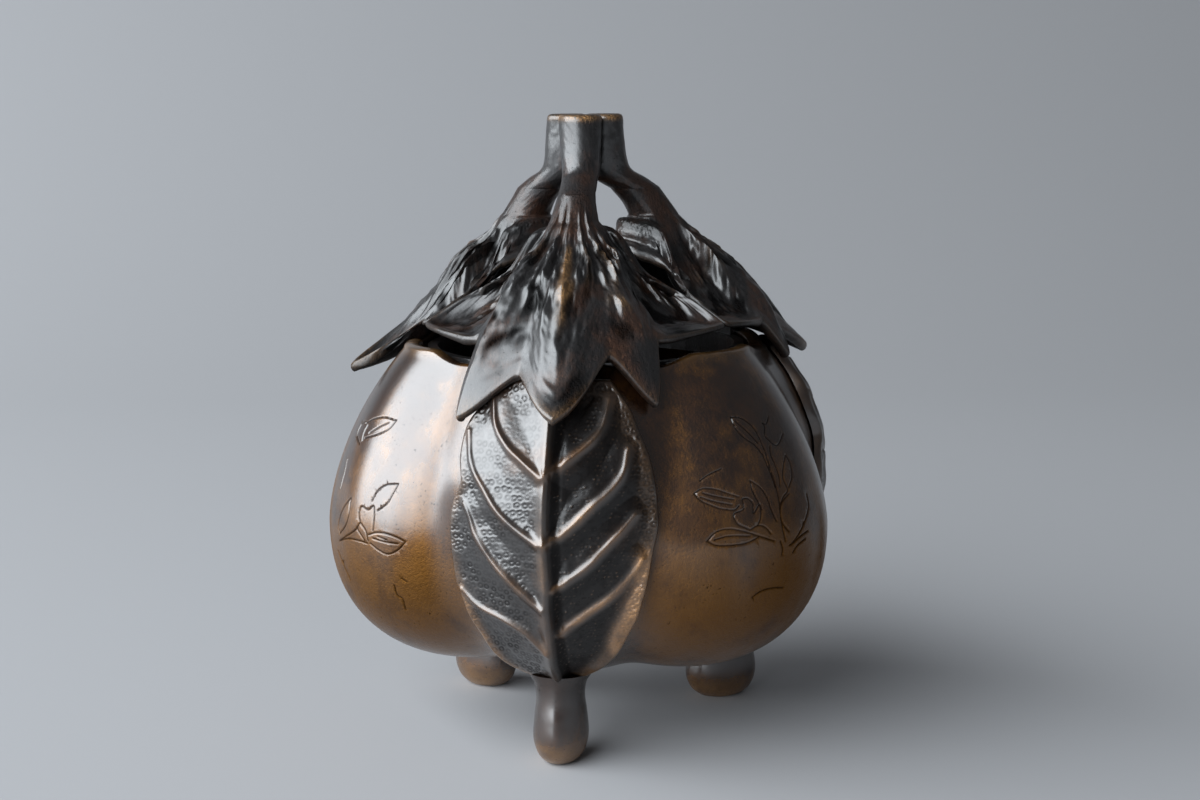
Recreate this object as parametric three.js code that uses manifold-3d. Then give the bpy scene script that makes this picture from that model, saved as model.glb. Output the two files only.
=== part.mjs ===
// Bronze incense burner in the form of three joined aubergines, with a lift-off lid.
// Millimetres, +Z up. The origin lies on the table under the vertical axis of the vessel.
// The front leaf faces -Y. Three leaves alternate with three fruits every 60 degrees.
// Each piece is shaped with its own leaf direction along +X and is then turned to its place.

import * as THREE from 'three';
import { mergeVertices } from 'three/addons/utils/BufferGeometryUtils.js';
import Module from 'manifold-3d';

const wasm = await Module();
wasm.setup();

// Arrangement
const LOBES = 3;
const FRONT_LEAF_AZIMUTH = -90;
const LID_TURN = 3.3;
const TOUCH_GAP = 0.3;

// Vessel: the fruits
const FRUIT_DISTANCE = 24.4;
const FRUIT_RADIUS = 29.1;
const FRUIT_WAIST_Z = 44.1;
const FRUIT_DEPTH_BELOW = 28;
const FRUIT_HEIGHT_ABOVE = 42;
const FRUIT_POWER_BELOW = 2.3;
const FRUIT_POWER_ABOVE = 1.6;

// Vessel: the shallower lobes that carry the leaves
const LOBE_DISTANCE = 20;
const LOBE_RADIUS = 28.7;
const LOBE_WAIST_Z = 52;
const LOBE_DEPTH_BELOW = 36;
const LOBE_HEIGHT_ABOVE = 31;
const LOBE_POWER_BELOW = 2.3;
const LOBE_POWER_ABOVE = 2;

// Vessel: the shoulder that fills the valleys under the rim
const SHOULDER_RADIUS = 40;
const SHOULDER_WAIST_Z = 58;
const SHOULDER_DEPTH_BELOW = 30;
const SHOULDER_HEIGHT_ABOVE = 41;
const SHOULDER_POWER = 2;

// Vessel: how tightly the bulbs meet, the wall and the mouth
const VALLEY_SHARPNESS = 34;
const CORE_Z = 46;
const WALL = 2.4;
const RIM_Z = 79.6;
const RIM_WIDTH = 2.3;
const MOUTH_RADIUS = 33;
const VESSEL_COLUMNS = 72;
const OUTSIDE_ROWS = 18;
const INSIDE_ROWS = 10;

// Leaves: each outline station is [height, half width].
const LEAF_THICKNESS = 1.7;
const LEAF_BOTTOM_Z = 18.6;
const LEAF_TOP_Z = 77;
const LEAF_OUTLINE = [
    [18.6, 6.6], [20.6, 9], [24, 12], [33, 16.4], [48, 18.9], [62, 17.3], [72, 13.6], [77, 10.4],
];
const LEAF_WAVE = 0.45;
const LEAF_WAVES = 6;
const MIDRIB_HEIGHT = 0.8;
const MIDRIB_WIDTH = 1.4;
const LEAF_COLUMNS = 12;
const LEAF_ROWS = 16;

// Feet: each station is [share of the height, radial share, tangent share].
const FOOT_DISTANCE = 30;
const FOOT_HALF_RADIAL = 7.8;
const FOOT_HALF_TANGENT = 5.3;
const FOOT_STATIONS = [
    [0, 0.46, 0.5], [0.03, 0.66, 0.68], [0.12, 0.88, 0.88], [0.28, 1, 1],
    [0.5, 0.96, 0.97], [0.7, 0.9, 0.95], [0.86, 0.86, 1.02], [0.94, 0.85, 1.12], [1, 0.84, 1.24],
];
const FOOT_SIDES = 20;

// Lid: collar with three lugs that seat on the rim under the calyxes
const COLLAR_CLEARANCE = 0.8;
const COLLAR_WALL = 2;
const COLLAR_HEIGHT = 5;
const COLLAR_DROP = 1.5;
const COLLAR_SIDES = 48;
const LUG_WIDTH = 8;
const LUG_OUTER_RADIUS = 35.4;
const LUG_HEIGHT = 6;

// Lid: necks. Each station is [height, distance from the axis, radial half, tangent half].
const NECK_STATIONS = [
    [109, 11.4, 5.3, 3.7],
    [106.2, 13.7, 5, 4.3],
    [103.5, 15.4, 5.1, 5],
];

// Lid: calyxes. Each edge station is [angle from outward, reach from the cap's centre, height, form].
// Form runs from -1, a domed flank, through 0, a sloping sepal, to 1, a web that falls early.
const CALYX_DISTANCE = 20;
const CALYX_THICKNESS = 2;
const CALYX_EDGE_THICKNESS = 1.2;
const FLANK_EDGE = [
    [94, 29.5, 83.2, 1],
    [105, 23.8, 87.4, 0.7],
    [114, 16.8, 91.3, 0],
    [125, 15, 94.3, -0.6],
    [140, 14, 95.8, -0.8],
    [157, 13.8, 97, -0.8],
    [180, 15, 98.7, -0.6],
];
const SEPALS = {
    front: [
        [-39, 29.7, 70.2, -1], [-19, 22.4, 78, -0.5], [1, 32.4, 71.8, 0],
        [27, 21.4, 81.5, -0.5], [46, 25.7, 72.2, -1],
    ],
    rear_right: [
        [-41, 24.6, 75.6, -1], [-22, 22, 80, -0.5], [0, 31.2, 75, 0],
        [21, 22, 79.5, -0.5], [42, 27.5, 72, -1],
    ],
    rear_left: [
        [-42, 28, 72, -1], [-20, 22, 79.5, -0.5], [0, 30.5, 73.5, 0],
        [22, 22, 80, -0.5], [46, 22, 82, 0], [60, 34, 75, 0.55],
    ],
};
const FLANK_TURN = 14;
const FLANK_REACH = 20.5;
const FLANK_Z = 82;
const SADDLE_TURN = 22;
const SADDLE_REACH = 21.8;
const RIBS = 12;
const RIB_HEIGHT = 0.5;
const CALYX_COLUMNS = 48;
const CALYX_ROWS = 8;

// Lid: stems. Each station is [height, distance from the axis, radial half, tangent half].
const STEM_STATIONS = [
    [124.2, 4.4, 3.9, 4.4],
    [119.6, 4.5, 4.1, 4.3],
    [115.5, 4.9, 4.3, 4.05],
    [113, 5.6, 4.8, 3.8],
    [111.2, 7.8, 5.7, 3.65],
    [109 + TOUCH_GAP, 11.2, 5.4, 3.7],
];
const STEM_SIDES = 22;

// Finishes, from the photograph
const FRUIT_BRONZE = { color: 0x6d4526, roughness: 0.38, metalness: 0.9 };
const LEAF_BRONZE = { color: 0x3a2a22, roughness: 0.5, metalness: 0.85 };
const DARK_BRONZE = { color: 0x2b2421, roughness: 0.42, metalness: 0.85 };

const { clamp, lerp } = THREE.MathUtils;
const THIRDS = [0, 1, 2].map((turn) => turn * 360 / LOBES);

/** Radians from degrees. */
function radians(degrees) {
    return degrees * Math.PI / 180;
}

/** Place between two values where a test that is false and then true first turns true. */
function firstWhere(test, low, high) {
    let below = low;
    let above = high;
    for (let step = 0; step < 24; step += 1) {
        const middle = 0.5 * (below + above);
        if (test(middle)) {
            above = middle;
        } else {
            below = middle;
        }
    }
    return 0.5 * (below + above);
}

/** The fruit's form, grown by a margin on every side. */
function fruitBulb(margin) {
    return {
        distance: FRUIT_DISTANCE,
        radius: FRUIT_RADIUS + margin,
        waist: FRUIT_WAIST_Z,
        below: FRUIT_DEPTH_BELOW + margin,
        above: FRUIT_HEIGHT_ABOVE + margin,
        powerBelow: FRUIT_POWER_BELOW,
        powerAbove: FRUIT_POWER_ABOVE,
    };
}

/** The leaf lobe's form, grown by a margin on every side. */
function leafBulb(margin) {
    return {
        distance: LOBE_DISTANCE,
        radius: LOBE_RADIUS + margin,
        waist: LOBE_WAIST_Z,
        below: LOBE_DEPTH_BELOW + margin,
        above: LOBE_HEIGHT_ABOVE + margin,
        powerBelow: LOBE_POWER_BELOW,
        powerAbove: LOBE_POWER_ABOVE,
    };
}

/** The shoulder's form, round the vessel's own axis, grown by a margin on every side. */
function shoulderBulb(margin) {
    return {
        distance: 0,
        radius: SHOULDER_RADIUS + margin,
        waist: SHOULDER_WAIST_Z,
        below: SHOULDER_DEPTH_BELOW + margin,
        above: SHOULDER_HEIGHT_ABOVE + margin,
        powerBelow: SHOULDER_POWER,
        powerAbove: SHOULDER_POWER,
    };
}

/** Radius of a rounded bulb at height z: two superellipse halves that meet at its waist. */
function bulbRadius(bulb, z) {
    const above = z > bulb.waist;
    const share = Math.abs(z - bulb.waist) / (above ? bulb.above : bulb.below);
    const power = above ? bulb.powerAbove : bulb.powerBelow;
    return share >= 1 ? 0 : bulb.radius * (1 - share ** power) ** (1 / power);
}

/** Point of the vessel seen from its core point, at an azimuth and elevation in degrees. */
function corePoint(azimuth, elevation, reach) {
    const level = reach * Math.cos(radians(elevation));
    return new THREE.Vector3(
        level * Math.cos(radians(azimuth)),
        level * Math.sin(radians(azimuth)),
        CORE_Z + reach * Math.sin(radians(elevation)),
    );
}

/** Distance from the core point to a bulb's skin. Every bulb holds the core point. */
function bulbReach(bulb, turn, elevation) {
    return firstWhere((reach) => {
        const point = corePoint(turn, elevation, reach);
        return Math.hypot(point.x - bulb.distance, point.y) > bulbRadius(bulb, point.z);
    }, 0, 2 * (bulb.distance + bulb.radius));
}

/** Distance from the core point to the skin of all the bulbs, which run softly together. */
function skinReach(azimuth, elevation, margin) {
    const reaches = THIRDS.flatMap((turn) => [
        bulbReach(leafBulb(margin), azimuth - turn, elevation),
        bulbReach(fruitBulb(margin), azimuth - turn - 180 / LOBES, elevation),
    ]);
    reaches.push(bulbReach(shoulderBulb(margin), 0, elevation));
    const sum = reaches.reduce((total, reach) => total + reach ** VALLEY_SHARPNESS, 0);
    return sum ** (1 / VALLEY_SHARPNESS);
}

/** Point on the vessel's skin, grown by a margin. */
function skinPoint(azimuth, elevation, margin) {
    return corePoint(azimuth, elevation, skinReach(azimuth, elevation, margin));
}

/** Elevation of the vessel's upper edge at an azimuth: level, but never inside the mouth. */
function rimElevation(azimuth) {
    return firstWhere((elevation) => {
        const point = skinPoint(azimuth, elevation, 0);
        return point.z > RIM_Z || Math.hypot(point.x, point.y) < MOUTH_RADIUS + RIM_WIDTH;
    }, 0, 89);
}

/** Equal steps of elevation from just above straight down to the highest. */
function elevations(highest, rows) {
    return Array.from({ length: rows }, (unused, row) => lerp(-90, highest, (row + 1) / rows));
}

/** A closed solid for joining and cutting, from a geometry. */
function toSolid(geometry) {
    geometry.deleteAttribute('normal');
    geometry.deleteAttribute('uv');
    const merged = mergeVertices(geometry, 1e-4);
    return new wasm.Manifold(new wasm.Mesh({
        numProp: 3,
        vertProperties: new Float32Array(merged.attributes.position.array),
        triVerts: new Uint32Array(merged.index.array),
    }));
}

/** A geometry from a solid that was joined or cut. */
function fromSolid(solid) {
    const mesh = solid.getMesh();
    const geometry = new THREE.BufferGeometry();
    geometry.setAttribute('position', new THREE.BufferAttribute(mesh.vertProperties, 3));
    geometry.setIndex(new THREE.BufferAttribute(mesh.triVerts, 1));
    geometry.computeVertexNormals();
    return geometry;
}

/** A geometry from points and corner numbers, three to a triangle. */
function fromPoints(points, index) {
    const geometry = new THREE.BufferGeometry();
    const positions = points.flatMap((point) => point.toArray());
    geometry.setAttribute('position', new THREE.Float32BufferAttribute(positions, 3));
    geometry.setIndex(index);
    geometry.computeVertexNormals();
    return geometry;
}

/** Middle of a ring of points. */
function middleOf(ring) {
    const sum = new THREE.Vector3();
    ring.forEach((point) => sum.add(point));
    return sum.divideScalar(ring.length);
}

/** Skin a stack of equal rings of points, with each end closed by a fan to its middle. */
function loft(rings) {
    const sides = rings[0].length;
    const last = (rings.length - 1) * sides;
    const lowMiddle = last + sides;
    const highMiddle = lowMiddle + 1;
    const index = [];
    for (let side = 0; side < sides; side += 1) {
        const next = (side + 1) % sides;
        for (let start = 0; start < last; start += sides) {
            index.push(start + side, start + next, start + sides + next);
            index.push(start + side, start + sides + next, start + sides + side);
        }
        index.push(lowMiddle, next, side);
        index.push(highMiddle, last + side, last + next);
    }
    const middles = [middleOf(rings[0]), middleOf(rings[rings.length - 1])];
    return fromPoints([...rings.flat(), ...middles], index);
}

/** Close two matching grids of points into one plate, joined round the edge. */
function plate(front, back) {
    const rows = front.length;
    const columns = front[0].length;
    const behind = rows * columns;
    const index = [];
    const at = (row, column) => row * columns + column;
    const quad = (a, b, c, d) => index.push(a, b, c, a, c, d);
    const edge = (from, to) => quad(from, from + behind, to + behind, to);
    for (let row = 0; row < rows - 1; row += 1) {
        for (let column = 0; column < columns - 1; column += 1) {
            const corner = at(row, column);
            const across = at(row + 1, column);
            quad(corner, corner + 1, across + 1, across);
            quad(across + behind, across + 1 + behind, corner + 1 + behind, corner + behind);
        }
        edge(at(row, columns - 1), at(row + 1, columns - 1));
        edge(at(row + 1, 0), at(row, 0));
    }
    for (let column = 0; column < columns - 1; column += 1) {
        edge(at(0, column), at(0, column + 1));
        edge(at(rows - 1, column + 1), at(rows - 1, column));
    }
    return fromPoints([...front.flat(), ...back.flat()], index);
}

/** Revolve a profile of [radius, height] pairs about the Z axis. */
function revolve(profile, sides) {
    const points = profile.map(([radius, height]) => new THREE.Vector2(radius, height));
    return new THREE.LatheGeometry(points, sides).rotateX(Math.PI / 2);
}

/** A level ellipse of points whose centre lies out along +X. */
function ellipse(z, distance, radial, tangent, sides) {
    return Array.from({ length: sides }, (unused, side) => {
        const angle = 2 * Math.PI * side / sides;
        return new THREE.Vector3(distance + radial * Math.cos(angle), tangent * Math.sin(angle), z);
    });
}

/** One column of the vessel's wall: up the outside, over the rim and down the inside. */
function wallColumn(azimuth) {
    const elevation = rimElevation(azimuth);
    const rim = skinPoint(azimuth, elevation, 0);
    const mouth = Math.hypot(rim.x, rim.y) - RIM_WIDTH;
    const mouthElevation = Math.atan2(rim.z - CORE_Z, mouth) * 180 / Math.PI;
    const outside = elevations(elevation, OUTSIDE_ROWS).map((angle) => skinPoint(azimuth, angle, 0));
    const inside = elevations(mouthElevation, INSIDE_ROWS).map((angle) => {
        const opening = angle > 0 ? mouth / Math.cos(radians(angle)) : 0;
        return corePoint(azimuth, angle, Math.max(skinReach(azimuth, angle, -WALL), opening));
    });
    return [...outside, ...inside.reverse()];
}

/** The vessel: three fruits grown together, hollow, with a scalloped rim round the mouth. */
function bowlGeometry() {
    const columns = Array.from(
        { length: VESSEL_COLUMNS },
        (unused, column) => wallColumn(360 * column / VESSEL_COLUMNS),
    );
    const rings = columns[0].map((unused, row) => columns.map((column) => column[row]));
    return loft(rings);
}

/** Half width of a leaf at a height, with its wavy margin. */
function leafHalfWidth(z) {
    const curve = new THREE.SplineCurve(LEAF_OUTLINE.map((station) => new THREE.Vector2(...station)));
    const place = firstWhere((share) => curve.getPoint(share).x > z, 0, 1);
    const rise = (z - LEAF_BOTTOM_Z) / (LEAF_TOP_Z - LEAF_BOTTOM_Z);
    const wave = LEAF_WAVE * Math.sin(Math.PI * rise) * Math.cos(2 * Math.PI * LEAF_WAVES * rise);
    return curve.getPoint(place).y + wave;
}

/** A leaf: a plate bent round its lobe, with a wavy margin and a raised midrib. */
function leafGeometry() {
    const margin = TOUCH_GAP + LEAF_THICKNESS;
    const front = [];
    const back = [];
    for (let row = 0; row <= LEAF_ROWS; row += 1) {
        const z = lerp(LEAF_BOTTOM_Z, LEAF_TOP_Z, row / LEAF_ROWS);
        const half = leafHalfWidth(z);
        const elevation = firstWhere((angle) => skinPoint(0, angle, margin).z > z, -80, 80);
        const widest = firstWhere((angle) => skinPoint(angle, elevation, margin).y > half, 0, 40);
        const over = [];
        const under = [];
        for (let column = 0; column <= LEAF_COLUMNS; column += 1) {
            const side = Math.sin(Math.PI * (column / LEAF_COLUMNS - 0.5));
            const azimuth = side * widest;
            const rib = MIDRIB_HEIGHT * Math.exp(-((side * half / MIDRIB_WIDTH) ** 2));
            over.push(corePoint(azimuth, elevation, skinReach(azimuth, elevation, margin) + rib));
            under.push(corePoint(azimuth, elevation, skinReach(azimuth, elevation, 0) + TOUCH_GAP));
        }
        front.push(over);
        back.push(under);
    }
    return plate(front, back);
}

/** The lower half of the vessel's skin as a solid, a gap larger, that the feet are cut to. */
function seatSolid() {
    const rings = elevations(0, OUTSIDE_ROWS).map((elevation) => Array.from(
        { length: VESSEL_COLUMNS },
        (unused, column) => {
            const azimuth = 360 * column / VESSEL_COLUMNS;
            return corePoint(azimuth, elevation, skinReach(azimuth, elevation, 0) + TOUCH_GAP);
        },
    ));
    return toSolid(loft(rings));
}

/** A foot: a waisted pad with a flat underside that flares up to the tip of its leaf. */
function footGeometry() {
    const height = LEAF_BOTTOM_Z - 2 * TOUCH_GAP;
    const rings = FOOT_STATIONS.map(([rise, radial, tangent]) => ellipse(
        rise * height,
        FOOT_DISTANCE,
        radial * FOOT_HALF_RADIAL,
        tangent * FOOT_HALF_TANGENT,
        FOOT_SIDES,
    ));
    return fromSolid(toSolid(loft(rings)).subtract(seatSolid()));
}

/** Collar that drops into the mouth, with three lugs that carry the calyxes on the rim. */
function collarGeometry() {
    const outer = MOUTH_RADIUS - COLLAR_CLEARANCE;
    const inner = outer - COLLAR_WALL;
    const seatZ = skinPoint(0, rimElevation(0), 0).z + TOUCH_GAP;
    const topZ = seatZ - COLLAR_DROP;
    const bottomZ = topZ - COLLAR_HEIGHT;
    const rootZ = 0.5 * (topZ + bottomZ);
    const rootInner = inner + 0.4 * COLLAR_WALL;
    const rootOuter = inner + 0.6 * COLLAR_WALL;
    let collar = toSolid(revolve([
        [inner, bottomZ], [outer, bottomZ], [outer, topZ], [inner, topZ], [inner, bottomZ],
    ], COLLAR_SIDES));
    const profile = new THREE.Shape([
        [rootInner, rootZ], [rootOuter, rootZ], [rootOuter, seatZ], [LUG_OUTER_RADIUS, seatZ],
        [LUG_OUTER_RADIUS, seatZ + LUG_HEIGHT - 1], [rootInner, seatZ + LUG_HEIGHT],
    ].map(([radius, z]) => new THREE.Vector2(radius, z)));
    for (const turn of THIRDS) {
        const lug = new THREE.ExtrudeGeometry(profile, { depth: LUG_WIDTH, bevelEnabled: false });
        lug.translate(0, 0, -0.5 * LUG_WIDTH).rotateX(Math.PI / 2).rotateZ(radians(turn));
        collar = collar.add(toSolid(lug));
    }
    return fromSolid(collar);
}

/** Edge stations of one calyx, in order of their angle from -180 to 180 degrees. */
function edgeStations(sepals) {
    const flank = ([angle]) => [
        [Math.abs(angle) + FLANK_TURN, FLANK_REACH, FLANK_Z, -0.6],
        [Math.abs(angle) + SADDLE_TURN, SADDLE_REACH, FLANK_Z, 0.8],
        ...FLANK_EDGE,
    ];
    const mirrored = flank(sepals[0]).map(([angle, ...rest]) => [-angle, ...rest]).reverse();
    return [...mirrored, ...sepals, ...flank(sepals[sepals.length - 1])];
}

/** Edge of a calyx at an angle from outward, eased between its stations. */
function edgeAt(stations, angle) {
    const upper = Math.max(stations.findIndex((station) => station[0] >= angle), 1);
    const from = stations[upper - 1];
    const to = stations[upper];
    const share = (angle - from[0]) / (to[0] - from[0]);
    const eased = lerp(share, 0.5 - 0.5 * Math.cos(Math.PI * share), 0.4);
    return [1, 2, 3].map((item) => lerp(from[item], to[item], eased));
}

/** Keep a point inside its own third of the lid, so that neighbours meet face to face. */
function keepInThird(point) {
    const limit = Math.max(Math.tan(Math.PI / LOBES) * point.x - TOUCH_GAP, 0);
    point.setY(clamp(point.y, -limit, limit));
    return point;
}

/** Outer skin of a calyx: angle from outward in degrees, share 0 at the neck and 1 at the edge. */
function calyxSkin(stations, angle, share) {
    const [reach, z, form] = edgeAt(stations, angle);
    const [neckZ, neckDistance, neckRadial, neckTangent] = NECK_STATIONS[NECK_STATIONS.length - 1];
    const cos = Math.cos(radians(angle));
    const sin = Math.sin(radians(angle));
    const shoulder = clamp((share - 0.15) / 0.55, 0, 1);
    const sloping = share - 0.09 * Math.sin(Math.PI * shoulder) ** 2;
    const domed = 0.7 * share + 0.3 * share ** 6;
    const webbed = 1 - (1 - share) ** 2.4;
    const drop = lerp(sloping, form < 0 ? domed : webbed, Math.abs(form));
    return new THREE.Vector3(
        lerp(neckDistance + neckRadial * cos, CALYX_DISTANCE + reach * cos, share),
        lerp(neckTangent * sin, reach * sin, share),
        lerp(neckZ, z, drop),
    );
}

/** Direction square to the calyx's skin, pointing out. */
function calyxNormal(stations, angle, share) {
    const step = 0.02;
    const along = calyxSkin(stations, angle, Math.min(share + step, 1))
        .sub(calyxSkin(stations, angle, Math.max(share - step, 0)));
    const around = calyxSkin(stations, Math.min(angle + 1, 180), share)
        .sub(calyxSkin(stations, Math.max(angle - 1, -180), share));
    return along.cross(around).normalize();
}

/** A calyx: a ribbed cap of sepals, hollow underneath, with a solid neck on top. */
function calyxGeometry(sepals) {
    const stations = edgeStations(sepals);
    const ring = (share, depth, ribHeight) => Array.from({ length: CALYX_COLUMNS }, (unused, column) => {
        const angle = 360 * column / CALYX_COLUMNS - 180;
        const rib = ribHeight * Math.cos(radians(RIBS * angle));
        const point = calyxSkin(stations, angle, share);
        point.addScaledVector(calyxNormal(stations, angle, share), rib - depth);
        return keepInThird(point);
    });
    const half = CALYX_COLUMNS / 2;
    const rings = NECK_STATIONS.slice(0, -1).map((station) => {
        const neck = ellipse(...station, CALYX_COLUMNS);
        return [...neck.slice(half), ...neck.slice(0, half)];
    });
    for (let row = 0; row <= CALYX_ROWS; row += 1) {
        const share = row / CALYX_ROWS;
        rings.push(ring(share, 0, RIB_HEIGHT * Math.sin(Math.PI * share)));
    }
    for (const share of [1, 0.8, 0.55, 0.35, 0.2]) {
        rings.push(ring(share, lerp(CALYX_THICKNESS, CALYX_EDGE_THICKNESS, share), 0));
    }
    return loft(rings.reverse());
}

/** A stem: a flat-topped stub that bends outwards into the neck of its calyx. */
function stemGeometry() {
    const rings = STEM_STATIONS.map((station) => ellipse(...station, STEM_SIDES).map((point) => {
        point.setX(Math.max(point.x, TOUCH_GAP));
        return keepInThird(point);
    }));
    return loft(rings.reverse());
}

/** Name a geometry, give it its finish and add it to a group at its azimuth. */
function place(parent, name, geometry, finish, azimuth = 0) {
    const mesh = new THREE.Mesh(geometry, new THREE.MeshStandardMaterial(finish));
    mesh.name = name;
    mesh.rotation.z = radians(azimuth);
    parent.add(mesh);
}

const group = new THREE.Group();
const vessel = new THREE.Group();
const lid = new THREE.Group();
vessel.rotation.z = radians(FRONT_LEAF_AZIMUTH);
lid.rotation.z = radians(FRONT_LEAF_AZIMUTH + LID_TURN);
group.add(vessel, lid);

place(vessel, 'bowl', bowlGeometry(), FRUIT_BRONZE);
place(lid, 'lid_collar', collarGeometry(), DARK_BRONZE);
Object.entries(SEPALS).forEach(([side, sepals], index) => {
    const turn = THIRDS[index];
    place(vessel, `leaf_${side}`, leafGeometry(), LEAF_BRONZE, turn);
    place(vessel, `foot_${side}`, footGeometry(), FRUIT_BRONZE, turn);
    place(lid, `calyx_${side}`, calyxGeometry(sepals), DARK_BRONZE, turn);
    place(lid, `stem_${side}`, stemGeometry(), DARK_BRONZE, turn);
});

export default group;
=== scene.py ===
"""Bronze incense burner of three joined aubergines, with a lift-off lid of calyxes and stems.

Shapes are worked out in millimetres with numpy and turned into metres when a mesh is made. Every piece
is shaped with its own outward direction along +X and is then turned to its place. Heights are along +Z.
"""
import logging
import math
from dataclasses import dataclass, field, replace
from enum import Enum
from typing import Callable, ClassVar

import bmesh
import bpy
import numpy as np
from mathutils import Matrix, Vector
from mathutils.kdtree import KDTree


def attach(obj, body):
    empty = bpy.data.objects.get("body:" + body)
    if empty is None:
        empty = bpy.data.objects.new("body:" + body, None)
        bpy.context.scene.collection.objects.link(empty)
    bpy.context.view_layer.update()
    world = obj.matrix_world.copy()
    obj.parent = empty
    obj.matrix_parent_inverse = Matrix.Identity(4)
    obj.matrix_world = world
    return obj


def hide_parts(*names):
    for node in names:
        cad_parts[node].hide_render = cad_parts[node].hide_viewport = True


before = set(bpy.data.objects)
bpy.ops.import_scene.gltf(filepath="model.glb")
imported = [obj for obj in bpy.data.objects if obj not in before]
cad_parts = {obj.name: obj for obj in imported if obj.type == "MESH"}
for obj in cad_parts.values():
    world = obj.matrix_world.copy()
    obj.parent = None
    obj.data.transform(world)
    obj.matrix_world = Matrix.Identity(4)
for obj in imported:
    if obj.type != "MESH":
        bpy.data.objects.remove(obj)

LOG = logging.getLogger("incense_burner")
MM = 0.001  # a millimetre in metres
FRONT_AZIMUTH = -90.0  # where the front leaf faces, in degrees
LID_TURN = 3.3  # turn of the lid on the vessel, in degrees
TOUCH_GAP = 0.3  # kept free between neighbouring pieces, in millimetres
CORE_Z = 46.0  # height of the core point, from which the vessel's skin is measured
THIRD_SLOPE = math.tan(math.pi / 3)  # slope of the planes between the lid's thirds
HALVINGS = 22  # steps of a search that halves its range

Colour = tuple[float, float, float]
Line = tuple[tuple[float, float], ...]
Station = tuple[float, float, float, float]
Values = float | np.ndarray
Fields = dict[str, np.ndarray]


class Body(Enum):
    """The moving bodies of the model."""

    VESSEL = "vessel"
    LID = "lid"


class Slot(Enum):
    """The record's material slots."""

    FRUIT = "fruit_bronze"
    LEAF = "leaf_bronze"
    LID = "lid_bronze"


# Number helpers


def lerp(low: Values, high: Values, share: Values) -> Values:
    """Blend two values or arrays.

    Args:
        low: value at share 0.
        high: value at share 1.
        share: place between them.

    Returns:
        The blended value.
    """
    return low + (high - low) * share


def smooth(low: float, high: float, value: np.ndarray) -> np.ndarray:
    """Ease from 0 to 1 as a value passes from low to high.

    Args:
        low: value where the result starts to rise.
        high: value where the result reaches 1.
        value: values to ease.

    Returns:
        Shares from 0 to 1.
    """
    share = np.clip((value - low) / (high - low), 0.0, 1.0)
    return share * share * (3.0 - 2.0 * share)


def ridge(distance: np.ndarray, half_width: float, power: float = 2.4) -> np.ndarray:
    """Cross section of a rounded ridge or groove of height 1.

    Args:
        distance: distances from the middle line.
        half_width: distance where the ridge has all but ended.
        power: higher is flatter on top and steeper at the sides.

    Returns:
        Heights from 0 to 1.
    """
    return np.exp(-2.2 * (np.abs(distance) / half_width) ** power)


def bell(value: np.ndarray, middle: Values, width: float) -> np.ndarray:
    """Rise to 1 at a middle value and fall off softly on both sides.

    Args:
        value: values.
        middle: value where the result is 1.
        width: distance from it where about a third is left.

    Returns:
        Shares from 0 to 1.
    """
    return np.exp(-((value - middle) / width) ** 2)


def first_where(test: Callable[[np.ndarray], np.ndarray], low: np.ndarray, high: np.ndarray) -> np.ndarray:
    """Find where a test that is false and then true first turns true, for many places at once.

    Args:
        test: gives one truth value for each trial value.
        low: values where the test is false.
        high: values where the test is true.

    Returns:
        The turning places.
    """
    low = np.array(low, dtype=float)
    high = np.array(high, dtype=float)
    for _ in range(HALVINGS):
        middle = 0.5 * (low + high)
        past = test(middle)
        high = np.where(past, middle, high)
        low = np.where(past, low, middle)
    return 0.5 * (low + high)


def hashed(first: np.ndarray, second: Values, seed: float) -> np.ndarray:
    """Give a fixed, scattered value from 0 to 1 for each pair of numbers.

    Args:
        first: first numbers.
        second: second numbers.
        seed: number that tells one scatter from another.

    Returns:
        Values from 0 to 1.
    """
    mixed = np.sin(first * 127.1 + second * 311.7 + seed * 74.7) * 43758.5453
    return mixed - np.floor(mixed)


def drift(x: np.ndarray, y: np.ndarray, size: float, seed: float) -> np.ndarray:
    """Give a slow, smooth change over a surface, from -1 to 1.

    Args:
        x: first coordinates.
        y: second coordinates.
        size: distance over which the value changes.
        seed: number that tells one pattern from another.

    Returns:
        Values from -1 to 1.
    """
    column, across = np.divmod(np.asarray(x) / size, 1.0)
    row, up = np.divmod(np.asarray(y) / size, 1.0)
    across = smooth(0.0, 1.0, across)
    up = smooth(0.0, 1.0, up)
    lower = lerp(hashed(column, row, seed), hashed(column + 1, row, seed), across)
    upper = lerp(hashed(column, row + 1, seed), hashed(column + 1, row + 1, seed), across)
    return 2.0 * lerp(lower, upper, up) - 1.0


def flowing(stations: np.ndarray, count: int) -> np.ndarray:
    """Pass a smooth curve through stations.

    Args:
        stations: one row of numbers for each station.
        count: how many points to give for each span.

    Returns:
        Points of the curve, the last station included.
    """
    stations = np.asarray(stations, dtype=float)
    padded = np.vstack([2 * stations[0] - stations[1], stations, 2 * stations[-1] - stations[-2]])
    share = np.linspace(0.0, 1.0, count, endpoint=False)[:, None]
    spans = []
    for a, b, c, d in zip(padded, padded[1:], padded[2:], padded[3:]):
        spans.append(0.5 * (2 * b + (c - a) * share + (2 * a - 5 * b + 4 * c - d) * share ** 2
                            + (3 * b - a - 3 * c + d) * share ** 3))
    return np.vstack([*spans, stations[-1:]])


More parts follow.
